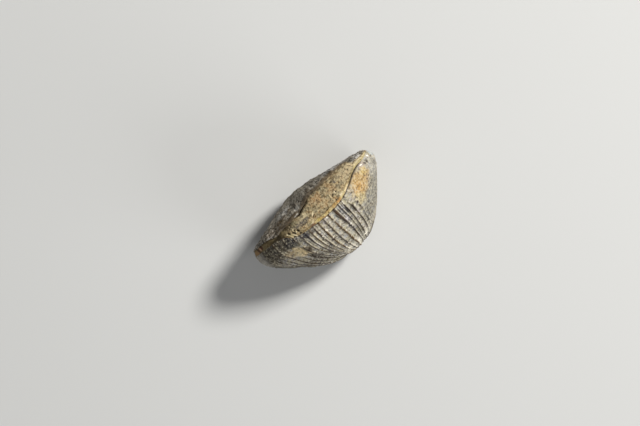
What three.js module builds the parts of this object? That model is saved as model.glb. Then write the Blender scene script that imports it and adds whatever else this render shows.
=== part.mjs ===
// A fossil bivalved shell: a deep ribbed valve, a shallow worn valve, and the sediment that fills the gape
// between them. It stands on the flat area between its two beaks, with the open margin on top.
// X runs along the hinge, Y from the ribbed valve (-) to the shallow valve (+), and Z up, from hinge to margin.
// All sizes are in millimetres.
import * as THREE from "three";

// The margin, seen square to the shell: a wide rounded D that stands on its straight hinge.
const WIDEST_HEIGHT = 8; // height of the widest level above the hinge
const HINGE_ANGLE = 0.62; // how far round the outline the hinge ends are from the widest level, radians
const SIDE_ROUNDING = 0.86; // under 1 fills the outline's corners sideways
const FRONT_ROUNDING = 0.8; // under 1 fills the outline's corners upwards
const MARGIN_SAMPLES = 2400; // steps used to measure lengths along the margin

// Ribs radiate from each beak, and neighbouring grooves are about 1.3 mm apart at the margin.
const RIB_COUNT = 51;
const COLUMNS_PER_RIB = 4;
const CREST_ROUNDNESS = 0.75; // under 1 makes the crests broad and the grooves narrow
const GROOVE_SHARE = 0.6; // share of a rib's height that is cut into the smooth surface
const SMOOTH_RIBS_AT_HINGE = 2.5; // ribs over which the relief fades out at each end of the hinge
const UMBO_FADE = 0.22; // share of a rib's length, next to the beak, over which it grows to full height
const YOUNG_RIB = 0.25; // height of a rib near the beak, as a share of its height at the margin
const EDGE_SHARPNESS = 24; // high values keep the relief at full height closer to the margin
const EDGE_RIB = 0.5; // height of a rib right at the margin, as a share of its full height
const UMBO_BLUNTNESS = 6; // high values keep the bulge at full depth closer to the beak
const NORMAL_STEP = 0.004; // share of the surface stepped over to find its normal
const HINGE_STEPS = 12; // facets along the straight hinge, a divisor of the margin's columns

const SEAM_GAP = 0.3; // clearance between the sediment and the ribbed valve
const CREVICE_GAP = 0.5; // clearance between the sediment and the shallow valve
const CREVICE_DEPTH = 0.5; // how far below the shallow valve's edge the sediment starts
const SEDIMENT_CROWN = 0.35; // how far the sediment's open face bulges between its edges
const CROWNED_WIDTH = 4; // the crown is lower where the open face is narrower than this
const SEDIMENT_COLUMNS = 96; // facets along the open face, a multiple of HINGE_STEPS
const SEDIMENT_STEPS = 5; // facets across the open face

// Profiles are [place along X, value] pairs, joined by a smooth curve.
const RIBBED_VALVE = {
  name: "ribbed_valve",
  outward: -1, // which way the valve bulges along Y
  halfWidth: 16.95,
  height: 20,
  beak: new THREE.Vector3(2.2, -9, 0),
  narrowing: 0.35, // how much slower ribs close up sideways than they shorten
  rows: 11,
  ribHeight: 0.42,
  // The margin swings towards this valve in a broad U.
  marginY: [[-17, -0.1], [-13, -0.2], [-9.8, -0.8], [-8.1, -2.35], [-4.3, -3.3], [1.6, -3.65], [5.6, -3.15],
    [10.7, -0.7], [13.7, -0.1], [17, 0.05]],
  bulge: [[-17, 6.1], [-11.4, 7.7], [-7.4, 7.1], [1.6, 7.1], [6.6, 7.2], [10.6, 6.9], [14.6, 5.7],
    [17, 2.8]],
  // Low values turn the surface sharply away from the margin.
  shoulder: [[-17, 0.4], [-7.4, 0.37], [1.6, 0.62], [9.6, 0.43], [17, 0.44]],
  ribStrength: [[-17, 0.45], [-9, 0.75], [-5, 1], [5, 1], [8, 0.6], [12, 0.3], [17, 0.15]],
  // Broad swellings of the surface: place along X and Y, radius and height.
  swellings: [[-9.6, -5.8, 2.2, 0.5], [-12.5, -2.5, 2, -0.3], [9.5, -3.2, 2.6, 0.25],
    [-7.3, -9.2, 1.6, -0.35]],
  colour: 0x8c8471,
  roughness: 0.85,
};

const SHALLOW_VALVE = {
  name: "shallow_valve",
  outward: 1,
  halfWidth: 16.5,
  height: 18.6,
  beak: new THREE.Vector3(-0.85, 2.6, 0),
  narrowing: 0.3,
  rows: 8,
  ribHeight: 0.2,
  marginY: [[-17, 1], [-13, 0.9], [-9.8, 0.4], [-6.8, 0.4], [-3.8, 0.45], [-0.3, 1.4], [3.7, 2], [8.7, 2.45],
    [12, 1.4], [17, 1.1]],
  bulge: [[-17, 0.7], [-14.4, 1.9], [-10.4, 2.85], [-6.4, 3], [-1.4, 3.1], [3.6, 2.55], [8.6, 1.5],
    [12.6, 1.5], [17, 0.5]],
  shoulder: [[-17, 0.5], [17, 0.5]],
  ribStrength: [[-17, 0.5], [0, 1], [17, 0.5]],
  swellings: [[-5, 3, 2.4, -0.2], [3.5, 3.8, 2.5, 0.2], [-10, 2.2, 2, 0.2]],
  colour: 0x87837a,
  roughness: 0.9,
};

const SEDIMENT = { name: "sediment_fill", colour: 0x9b8156, roughness: 0.95 };

/** A smooth curve through [x, value] pairs that never overshoots them. */
function profile(pairs) {
  const slopes = pairs.slice(1).map(([x, v], i) => (v - pairs[i][1]) / (x - pairs[i][0]));
  const tangents = pairs.map((_, i) => {
    const before = slopes[Math.max(i - 1, 0)];
    const after = slopes[Math.min(i, slopes.length - 1)];
    return before * after <= 0 ? 0 : (2 * before * after) / (before + after);
  });
  return (x) => {
    const place = THREE.MathUtils.clamp(x, pairs[0][0], pairs.at(-1)[0]);
    const i = Math.max(0, pairs.findIndex(([start], k) => k > 0 && place <= start) - 1);
    const [x0, v0] = pairs[i];
    const [x1, v1] = pairs[i + 1];
    const t = (place - x0) / (x1 - x0);
    const hump = t * t * (3 - 2 * t);
    const width = x1 - x0;
    return v0 + (v1 - v0) * hump + width * t * (1 - t) * ((1 - t) * tangents[i] - t * tangents[i + 1]);
  };
}

/** The margin of a valve by the share of its length, from one end of the hinge round to the other. */
function marginOf(valve) {
  const marginY = profile(valve.marginY);
  const points = [];
  const sweep = Math.PI + 2 * HINGE_ANGLE;
  for (let i = 0; i <= MARGIN_SAMPLES; i += 1) {
    const angle = Math.PI + HINGE_ANGLE - (i / MARGIN_SAMPLES) * sweep;
    const across = Math.cos(angle);
    const up = Math.sin(angle);
    const x = valve.halfWidth * Math.sign(across) * Math.abs(across) ** SIDE_ROUNDING;
    const above = (valve.height - WIDEST_HEIGHT) * Math.abs(up) ** FRONT_ROUNDING;
    const below = (WIDEST_HEIGHT * Math.abs(up)) / Math.sin(HINGE_ANGLE);
    const z = up > 0 ? WIDEST_HEIGHT + above : Math.max(0, WIDEST_HEIGHT - below);
    points.push(new THREE.Vector3(x, marginY(x), z));
  }
  const lengths = [0];
  points.slice(1).forEach((point, i) => lengths.push(lengths[i] + point.distanceTo(points[i])));
  return (share) => {
    const target = share * lengths.at(-1);
    const i = Math.min(Math.max(lengths.findIndex((length) => length >= target), 1), MARGIN_SAMPLES);
    const t = (target - lengths[i - 1]) / (lengths[i] - lengths[i - 1]);
    return points[i - 1].clone().lerp(points[i], THREE.MathUtils.clamp(t, 0, 1));
  };
}

/** The smooth outer surface of a valve: margin share u, and growth from the beak (0) to the margin (1). */
function surfaceOf(valve, margin) {
  const bulge = profile(valve.bulge);
  const shoulder = profile(valve.shoulder);
  return (u, growth) => {
    const edge = margin(u);
    const left = 1 - growth;
    const sideways = growth * (1 + valve.narrowing * left);
    const standing = Math.sin((Math.PI / 2) * Math.min(edge.z / WIDEST_HEIGHT, 1));
    const arch = Math.max(0, 1 - growth ** 2) ** shoulder(edge.x) * (1 - left ** UMBO_BLUNTNESS);
    return new THREE.Vector3(
      valve.beak.x + (edge.x - valve.beak.x) * sideways,
      edge.y + (valve.beak.y - edge.y) * left + valve.outward * bulge(edge.x) * standing * arch,
      edge.z * growth,
    );
  };
}

/** The outward normal of a smooth surface, from two short steps on it. */
function normalAt(surface, u, growth, outward) {
  const next = surface(Math.min(u + NORMAL_STEP, 1), growth);
  const along = next.sub(surface(Math.max(u - NORMAL_STEP, 0), growth));
  const outer = Math.min(growth + NORMAL_STEP, 1);
  const down = surface(u, outer - 2 * NORMAL_STEP).sub(surface(u, outer));
  return along.cross(down).multiplyScalar(outward < 0 ? 1 : -1).normalize();
}

/** Ribs with round crests and narrow grooves, from 0 in a groove to 1 on a crest. */
function ribCrest(u) {
  return Math.abs(Math.sin(Math.PI * u * RIB_COUNT)) ** CREST_ROUNDNESS;
}

/** How far the worn surface stands off the smooth one. */
function reliefAt(valve, strength, u, growth, place) {
  const fromHinge = Math.min(u, 1 - u) * RIB_COUNT;
  const fade = THREE.MathUtils.smoothstep(fromHinge, 0, SMOOTH_RIBS_AT_HINGE);
  const grown = THREE.MathUtils.smoothstep(growth, 0, UMBO_FADE);
  const height = valve.ribHeight * strength(place.x) * (YOUNG_RIB + (1 - YOUNG_RIB) * growth);
  const ribs = height * (ribCrest(u) - GROOVE_SHARE);
  const swell = valve.swellings.reduce((sum, [x, y, radius, rise]) => {
    const reach = Math.hypot(place.x - x, place.y - y) / radius;
    return sum + rise * Math.exp(-reach * reach);
  }, 0);
  const inside = 1 - growth ** EDGE_SHARPNESS;
  return (ribs * (EDGE_RIB + (1 - EDGE_RIB) * inside) + swell * inside) * grown * fade;
}

/** A closed geometry from points and triangles of their indices. */
function geometryFrom(points, triangles) {
  const geometry = new THREE.BufferGeometry().setFromPoints(points);
  geometry.setIndex(triangles);
  geometry.computeVertexNormals();
  return geometry;
}

function namedMesh({ name, colour, roughness }, geometry) {
  const material = new THREE.MeshStandardMaterial({ color: colour, roughness, metalness: 0 });
  const mesh = new THREE.Mesh(geometry, material);
  mesh.name = name;
  return mesh;
}

/** The triangles of a grid of points held row by row, with rows running down and columns to the right. */
function gridTriangles(rows, columns, at) {
  const triangles = [];
  for (let row = 0; row + 1 < rows; row += 1) {
    for (let column = 0; column + 1 < columns; column += 1) {
      const [a, b] = [at(row, column), at(row + 1, column)];
      const [c, d] = [at(row + 1, column + 1), at(row, column + 1)];
      triangles.push([a, b, c], [a, c, d]);
    }
  }
  return triangles;
}

/** The triangles that fan out from one point over a line of points. */
function fanTriangles(centre, line) {
  return line.slice(1).map((next, i) => [centre, line[i], next]);
}

/**
 * The triangles of a face that hangs from the margin down to the hinge. Its hinge side is a straight line of
 * points, each joined to an equal share of the margin's points.
 */
function hangingTriangles(marginLine, hingeLine) {
  const share = (marginLine.length - 1) / (hingeLine.length - 1);
  const triangles = [];
  for (let i = 0; i + 1 < hingeLine.length; i += 1) {
    const next = (i + 1) * share;
    triangles.push(...fanTriangles(hingeLine[i], marginLine.slice(i * share, next + 1)));
    triangles.push([hingeLine[i], marginLine[next], hingeLine[i + 1]]);
  }
  return triangles.filter(([a, b, c]) => a !== b && b !== c && c !== a);
}

/** Adds evenly spaced points between two that are there already, and returns the whole line of indices. */
function straightLine(points, from, to) {
  const line = [from];
  for (let i = 1; i < HINGE_STEPS; i += 1) {
    line.push(points.push(points[from].clone().lerp(points[to], i / HINGE_STEPS)) - 1);
  }
  return [...line, to];
}

/** The same triangles facing the other way. */
function turned(triangles) {
  return triangles.map(([a, b, c]) => [a, c, b]);
}

/** One valve: its ribbed outer surface, the inner face towards the sediment, and the flat area it stands on. */
function buildValve(valve) {
  const surface = surfaceOf(valve, marginOf(valve));
  const strength = profile(valve.ribStrength);
  const columns = RIB_COUNT * COLUMNS_PER_RIB;
  const points = [];
  for (let row = 0; row < valve.rows; row += 1) {
    const growth = Math.cos((Math.PI / 2) * (row / valve.rows));
    for (let column = 0; column <= columns; column += 1) {
      const u = column / columns;
      const place = surface(u, growth);
      const normal = normalAt(surface, u, growth, valve.outward);
      const point = place.clone().addScaledVector(normal, reliefAt(valve, strength, u, growth, place));
      points.push(point.setZ(Math.max(point.z, 0)));
    }
  }
  const at = (row, column) => row * (columns + 1) + column;
  const rowLine = (row) => Array.from({ length: columns + 1 }, (_, column) => at(row, column));
  const sideLine = (column) => Array.from({ length: valve.rows }, (_, row) => at(row, column));
  const beak = points.push(valve.beak) - 1;
  const hinge = straightLine(points, at(0, 0), at(0, columns));
  const restingEdge = [...sideLine(0).reverse(), ...hinge.slice(1, -1), ...sideLine(columns)];
  const triangles = [
    ...gridTriangles(valve.rows, columns + 1, at),
    ...turned(fanTriangles(beak, rowLine(valve.rows - 1))),
    ...hangingTriangles(rowLine(0), hinge),
    ...fanTriangles(beak, restingEdge),
  ];
  const facingOut = valve.outward > 0 ? turned(triangles) : triangles;
  return namedMesh(valve, geometryFrom(points, facingOut.flat()));
}

/** The sediment: a wedge between the valves' inner faces, with its open face along the gape. */
function buildSediment() {
  const nearMargin = marginOf(RIBBED_VALVE);
  const farMargin = marginOf({ ...SHALLOW_VALVE, height: SHALLOW_VALVE.height - CREVICE_DEPTH });
  const columns = SEDIMENT_COLUMNS;
  const points = [];
  for (let step = 0; step <= SEDIMENT_STEPS; step += 1) {
    const t = step / SEDIMENT_STEPS;
    for (let column = 0; column <= columns; column += 1) {
      const near = nearMargin(column / columns).add(new THREE.Vector3(0, SEAM_GAP, 0));
      const far = farMargin(column / columns).sub(new THREE.Vector3(0, CREVICE_GAP, 0));
      const standing = THREE.MathUtils.smoothstep(far.z, 0, WIDEST_HEIGHT);
      const openness = Math.min((far.y - near.y) / CROWNED_WIDTH, 1);
      const crown = SEDIMENT_CROWN * Math.sin(Math.PI * t) * openness * standing;
      const point = near.lerp(far, t);
      points.push(point.setZ(point.z + crown));
    }
  }
  const at = (step, column) => step * (columns + 1) + column;
  const edgeLine = (step) => Array.from({ length: columns + 1 }, (_, column) => at(step, column));
  const endLine = (column) => Array.from({ length: SEDIMENT_STEPS + 1 }, (_, step) => at(step, column));
  const nearHinge = straightLine(points, at(0, 0), at(0, columns));
  const farHinge = straightLine(points, at(SEDIMENT_STEPS, 0), at(SEDIMENT_STEPS, columns));
  const corner = nearHinge[1];
  const lastCorner = nearHinge.at(-2);
  const underside = [];
  for (let i = 1; i + 2 < nearHinge.length; i += 1) {
    underside.push([nearHinge[i], nearHinge[i + 1], farHinge[i + 1]]);
    underside.push([nearHinge[i], farHinge[i + 1], farHinge[i]]);
  }
  const triangles = [
    ...turned(gridTriangles(SEDIMENT_STEPS + 1, columns + 1, at)),
    ...turned(hangingTriangles(edgeLine(0), nearHinge)),
    ...hangingTriangles(edgeLine(SEDIMENT_STEPS), farHinge),
    ...turned(underside),
    ...fanTriangles(corner, [...endLine(0), farHinge[1]]),
    ...turned(fanTriangles(lastCorner, [...endLine(columns), farHinge.at(-2)])),
  ];
  return namedMesh(SEDIMENT, geometryFrom(points, triangles.flat()));
}

const shell = new THREE.Group();
shell.add(buildValve(RIBBED_VALVE), buildValve(SHALLOW_VALVE), buildSediment());

// The origin is the middle of the shell's footprint box, on the surface that it stands on.
const box = new THREE.Box3().setFromObject(shell, true);
const middle = box.getCenter(new THREE.Vector3());
shell.position.set(-middle.x, -middle.y, -box.min.z);

export default shell;
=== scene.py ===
"""The looks of a fossil bivalved shell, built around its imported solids.

The shell stands on the flat area between its two beaks, with its open margin on top. A deep ribbed valve
and a shallow worn valve hold the sediment that fills the gape between them. Shapes are worked out in
millimetres in the shell's own frame: X along the hinge, from about -17 at the blunt end to about 17 at the
pointed end, Y from the ribbed valve to the shallow valve, and Z up.
"""

import logging
import math
from dataclasses import dataclass, field, replace
from enum import Enum
from typing import Mapping, Sequence, Union

import bpy
import numpy as np
from mathutils import Matrix, Vector


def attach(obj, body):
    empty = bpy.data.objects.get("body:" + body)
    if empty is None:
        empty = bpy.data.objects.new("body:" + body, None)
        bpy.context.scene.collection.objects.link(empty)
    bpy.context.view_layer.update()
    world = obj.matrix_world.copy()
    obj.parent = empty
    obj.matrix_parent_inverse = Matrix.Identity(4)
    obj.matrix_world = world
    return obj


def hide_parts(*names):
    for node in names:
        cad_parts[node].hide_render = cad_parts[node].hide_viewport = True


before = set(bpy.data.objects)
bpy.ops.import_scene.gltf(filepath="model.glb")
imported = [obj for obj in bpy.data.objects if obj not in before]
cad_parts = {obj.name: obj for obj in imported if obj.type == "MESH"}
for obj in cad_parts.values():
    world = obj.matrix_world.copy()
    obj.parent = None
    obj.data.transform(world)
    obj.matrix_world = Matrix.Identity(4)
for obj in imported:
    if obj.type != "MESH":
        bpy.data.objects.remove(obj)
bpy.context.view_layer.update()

LOG = logging.getLogger("fossil_shell")
Array = np.ndarray

MM = 0.001
HINGE_MIDDLE = np.array([0.019, 4.284, 0.0])  # the shell's own origin in the row frame, in millimetres

# The margin, seen square to the shell: a wide rounded D that stands on its straight hinge.
WIDEST_HEIGHT = 8.0
HINGE_ANGLE = 0.62
SIDE_ROUNDING = 0.86
FRONT_ROUNDING = 0.8
MARGIN_SAMPLES = 4800

RIB_COUNT = 51
NORMAL_STEP = 0.004


def smooth_step(low: float, high: float, value: Array) -> Array:
    """Returns 0 below low and 1 above high, with a smooth rise between them."""
    t = np.clip((value - low) / (high - low), 0.0, 1.0)
    return t * t * (3.0 - 2.0 * t)


def softened(field_of: Array, passes: int) -> Array:
    """Averages a grid of numbers with its neighbours.

    Args:
        field_of: The grid.
        passes: How many times each number is averaged with the four next to it.

    Returns:
        The softened grid.
    """
    soft = field_of
    for _ in range(passes):
        rim = np.pad(soft, 1, mode="edge")
        beside = rim[1:-1, :-2] + rim[1:-1, 2:] + rim[:-2, 1:-1] + rim[2:, 1:-1]
        soft = 0.5 * soft + 0.125 * beside
    return soft


def hollows(height: Array, passes: int, depth: float) -> Array:
    """Says where a surface is hollow.

    Args:
        height: How far it stands off, on a grid.
        passes: How widely each place is compared with its surroundings.
        depth: How far below them a place lies where the answer is 1.

    Returns:
        Values from -1 on bumps to 1 in hollows.
    """
    return np.clip((softened(height, passes) - height) / depth, -1.0, 1.0)


@dataclass(frozen=True)
class Profile:
    """A smooth curve through [place, value] pairs that never overshoots them.

    Attributes:
        pairs: The places in rising order, each with its value.
    """

    pairs: tuple[tuple[float, float], ...]

    def __call__(self, place: Array) -> Array:
        """Reads the curve, which stays level beyond its ends.

        Args:
            place: The places to read it at.

        Returns:
            Its values there.
        """
        places, values = np.array(self.pairs, float).T
        slopes = np.diff(values) / np.diff(places)
        before = np.concatenate([slopes[:1], slopes])
        after = np.concatenate([slopes, slopes[-1:]])
        same_way = before * after > 0
        total = np.where(same_way, before + after, 1.0)
        tangents = np.where(same_way, 2.0 * before * after / total, 0.0)
        x = np.clip(place, places[0], places[-1])
        i = np.clip(np.searchsorted(places, x) - 1, 0, len(places) - 2)
        width = places[i + 1] - places[i]
        t = (x - places[i]) / width
        rise = (values[i + 1] - values[i]) * t * t * (3.0 - 2.0 * t)
        bend = width * t * (1.0 - t) * ((1.0 - t) * tangents[i] - t * tangents[i + 1])
        return values[i] + rise + bend


def level(value: float) -> Profile:
    """Returns a profile that has one value everywhere."""
    return Profile(((0.0, value), (1.0, value)))


class StoneNoise:
    """Seeded noise in space, for wear, grain and pits.

    Points that are shifted by a few millimetres give another noise, which has nothing to do with the first.
    """

    SIZE = 4096
    STRIDES = (73856093, 19349663, 83492791)
    LAYER_SHIFT = 17.3  # keeps the layers apart
    OUT_OF_REACH = 9.0  # further than any seed can be, in cells

    def __init__(self, seed: int) -> None:
        """Draws the noise's table of values."""
        self._values = np.random.default_rng(seed).uniform(-1.0, 1.0, (4, self.SIZE))

    def _corner(self, cell: Array, layer: int = 0) -> Array:
        """Returns the value that belongs to each cell of the lattice."""
        x, y, z = (cell[..., axis] * stride for axis, stride in enumerate(self.STRIDES))
        return self._values[layer][(x ^ y ^ z) & (self.SIZE - 1)]

    def at(self, points: Array, grain: float) -> Array:
        """Smooth noise.

        Args:
            points: Points in millimetres, one along the last axis.
            grain: The size of its lumps in millimetres.

        Returns:
            Values from -1 to 1.
        """
        scaled = points / grain
        cell = np.floor(scaled).astype(np.int64)
        t = scaled - cell
        t = t * t * (3.0 - 2.0 * t)
        total = np.zeros(points.shape[:-1])
        for corner in np.ndindex(2, 2, 2):
            weight = np.prod(np.where(corner, t, 1.0 - t), axis=-1)
            total += weight * self._corner(cell + np.array(corner))
        return total

    def layered(self, points: Array, grain: float, layers: int) -> Array:
        """Returns noise with finer layers added, each half as coarse and as strong as the one before."""
        total = sum(self.at(points + self.LAYER_SHIFT * k, grain / 2**k) / 2**k for k in range(layers))
        return total / (2.0 - 0.5 ** (layers - 1))

    def cells(self, points: Array, size: float) -> tuple[Array, Array]:
        """Scattered seeds, one in each cell of a lattice.

        Args:
            points: Points in millimetres.
            size: The cells' size in millimetres.

        Returns:
            The distance from each point to its nearest seed, in cells, and that seed's own value, which
            lies between -1 and 1.
        """
        scaled = points / size
        cell = np.floor(scaled).astype(np.int64)
        nearest = np.full(points.shape[:-1], self.OUT_OF_REACH)
        kind = np.zeros(points.shape[:-1])
        for offset in np.ndindex(3, 3, 3):
            other = cell + np.array(offset) - 1
            jitter = np.stack([self._corner(other, layer) for layer in (1, 2, 3)], axis=-1)
            distance = np.linalg.norm(other + 0.5 + 0.5 * jitter - scaled, axis=-1)
            closer = distance < nearest
            nearest = np.where(closer, distance, nearest)
            kind = np.where(closer, self._corner(other), kind)
        return nearest, kind


@dataclass(frozen=True)
class Swelling:
    """A broad rise of the surface, or a hollow where its height is negative.

    Attributes:
        x: Its middle along the hinge.
        y: Its middle across the valves.
        radius: How far it reaches.
        height: How far it stands off.
    """

    x: float
    y: float
    radius: float
    height: float

    def at(self, place: Array) -> Array:
        """Returns how far the surface stands off at each point."""
        reach = np.hypot(place[..., 0] - self.x, place[..., 1] - self.y) / self.radius
        return self.height * np.exp(-reach * reach)


@dataclass(frozen=True)
class Ridge:
    """A short raised streak, or a nick where its height is negative.

    Attributes:
        start: One end, along the hinge and across the valves.
        end: The other end.
        width: Half its width.
        height: How far it stands off.
    """

    start: tuple[float, float]
    end: tuple[float, float]
    width: float
    height: float

    def cover(self, place: Array) -> Array:
        """Says where the ridge is.

        Args:
            place: Points in millimetres.

        Returns:
            Values from 1 along the ridge to 0 away from it.
        """
        start, along = np.array(self.start), np.subtract(self.end, self.start)
        offset = place[..., :2] - start
        t = np.clip(offset @ along / max(along @ along, 1e-9), 0.0, 1.0)
        distance = np.linalg.norm(offset - t[..., None] * along, axis=-1)
        return np.exp(-((distance / self.width) ** 2))


@dataclass(frozen=True)
class Knob:
    """A small rounded lump.

    Attributes:
        middle: Its middle.
        radius: How far it reaches.
        height: How far it stands off.
    """

    middle: tuple[float, float, float]
    radius: float
    height: float

    def cover(self, place: Array) -> Array:
        """Returns 1 in its middle, falling to 0 around it."""
        return np.exp(-((np.linalg.norm(place - np.array(self.middle), axis=-1) / self.radius) ** 2))


@dataclass(frozen=True)
class Margin:
    """The edge of a valve: a rounded D seen square to the shell, and a wave seen from above.

    Attributes:
        half_widths: How far it reaches to the blunt end and to the pointed end.
        height: Its height above the hinge.
        wave: How far it swings across the valves, by the place along the hinge.
        wander: How far it strays from that smooth line.
        noise: The noise that it strays by.
    """

    half_widths: tuple[float, float]
    height: float
    wave: Profile
    wander: float
    noise: StoneNoise

    WANDER_GRAIN = 1.6
    STEADY_ENDS = 0.08  # the share of the margin at both ends over which it steadies

    def at(self, share: Array) -> Array:
        """Follows the margin from the blunt end of the hinge round to the pointed end.

        Args:
            share: The shares of its length to stop at, from 0 to 1.

        Returns:
            The points there, in millimetres.
        """
        sweep = math.pi + 2.0 * HINGE_ANGLE
        angle = math.pi + HINGE_ANGLE - np.linspace(0.0, 1.0, MARGIN_SAMPLES + 1) * sweep
        across, up = np.cos(angle), np.sin(angle)
        reach = np.where(across < 0.0, -self.half_widths[0], self.half_widths[1])
        x = reach * np.abs(across) ** SIDE_ROUNDING
        above = WIDEST_HEIGHT + (self.height - WIDEST_HEIGHT) * np.abs(up) ** FRONT_ROUNDING
        below = np.maximum(0.0, WIDEST_HEIGHT * (1.0 - np.abs(up) / math.sin(HINGE_ANGLE)))
        line = np.stack([x, self.wave(x), np.where(up > 0.0, above, below)], axis=-1)
        steps = np.linalg.norm(np.diff(line, axis=0), axis=1)
        length = np.concatenate([[0.0], np.cumsum(steps)])
        points = np.stack([np.interp(share * length[-1], length, line[:, k]) for k in range(3)], axis=-1)
        free = smooth_step(0.0, self.STEADY_ENDS, np.minimum(share, 1.0 - share))
        points[..., 1] += self.wander * free * self.noise.layered(points, self.WANDER_GRAIN, 3)
        return points


@dataclass
class Piece:
    """Collects the points and faces of one closed mesh, with named values on its points.

    Attributes:
        name: The piece's name.
        points: Blocks of points, in the order in which they came.
        values: Blocks of values for those points, by name.
        faces: Blocks of triangles or squares, each a row of indices.
        count: How many points there are so far.
    """

    name: str
    points: list[Array] = field(default_factory=list)
    values: dict[str, list[Array]] = field(default_factory=dict)
    faces: list[Array] = field(default_factory=list)
    count: int = 0

    def add(self, points: Array, **values: Array) -> Array:
        """Adds points.

        Args:
            points: The points, in any arrangement, with X, Y and Z along the last axis.
            **values: A value for each point, by name. Names left out are 0.

        Returns:
            The points' indices, in the same arrangement.
        """
        shape = points.shape[:-1]
        number = int(np.prod(shape))
        for name in set(self.values) | set(values):
            known = self.values.setdefault(name, [np.zeros(self.count)] if self.count else [])
            known.append(np.broadcast_to(values.get(name, 0.0), shape).reshape(-1).astype(float))
        self.points.append(points.reshape(-1, 3))
        self.count += number
        return np.arange(self.count - number, self.count).reshape(shape)

    def grid(self, index: Array, turned: bool) -> None:
        """Joins a grid of points with squares.

        Args:
            index: The points' indices, row by row.
            turned: Whether the squares face the other way.
        """
        corners = [index[:-1, :-1], index[1:, :-1], index[1:, 1:], index[:-1, 1:]]
        squares = np.stack(corners, axis=-1).reshape(-1, 4)
        self.faces.append(squares[:, ::-1] if turned else squares)

    def fan(self, middle: int, line: Array, turned: bool) -> None:
        """Joins a line of points to one point with triangles.

        Args:
            middle: The index of that point.
            line: The indices of the points in the line.
            turned: Whether the triangles face the other way.
        """
        fan = np.stack([np.full(len(line) - 1, middle), line[:-1], line[1:]], axis=-1)
        self.faces.append(fan[:, ::-1] if turned else fan)

    def hang(self, long_line: Array, short_line: Array, turned: bool) -> None:
        """Joins two lines of points with triangles.

        Args:
            long_line: The line with more points.
            short_line: The line with fewer points. Each of its steps spans an equal share of the long line.
            turned: Whether the triangles face the other way.
        """
        share = (len(long_line) - 1) // (len(short_line) - 1)
        for i, start in enumerate(short_line[:-1]):
            self.fan(start, long_line[i * share : (i + 1) * share + 1], turned)
        ends = long_line[share::share]
        bridges = np.stack([short_line[:-1], ends, short_line[1:]], axis=-1)
        self.faces.append(bridges[:, ::-1] if turned else bridges)

    def build(self, material: bpy.types.Material, sharp_angle: float) -> bpy.types.Object:
        """Makes the Blender object.

        Args:
            material: What it is dressed in.
            sharp_angle: Edges that bend more than this, in degrees, are shaded as sharp.

        Returns:
            The object, in metres in the row frame.
        """
        points = (np.concatenate(self.points) + HINGE_MIDDLE) * MM
        faces = [face for block in self.faces for face in block.tolist()]
        faces = [face for face in faces if len(set(face)) == len(face)]
        mesh = bpy.data.meshes.new(self.name)
        mesh.from_pydata(points.tolist(), [], faces)
        for name, blocks in self.values.items():
            layer = mesh.attributes.new(name, "FLOAT", "POINT")
            layer.data.foreach_set("value", np.concatenate(blocks).astype(np.float32))
        mesh.validate()
        mesh.shade_smooth()
        mesh.set_sharp_from_angle(angle=math.radians(sharp_angle))
        mesh.materials.append(material)
        piece = bpy.data.objects.new(self.name, mesh)
        bpy.context.scene.collection.objects.link(piece)
        return piece


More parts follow.
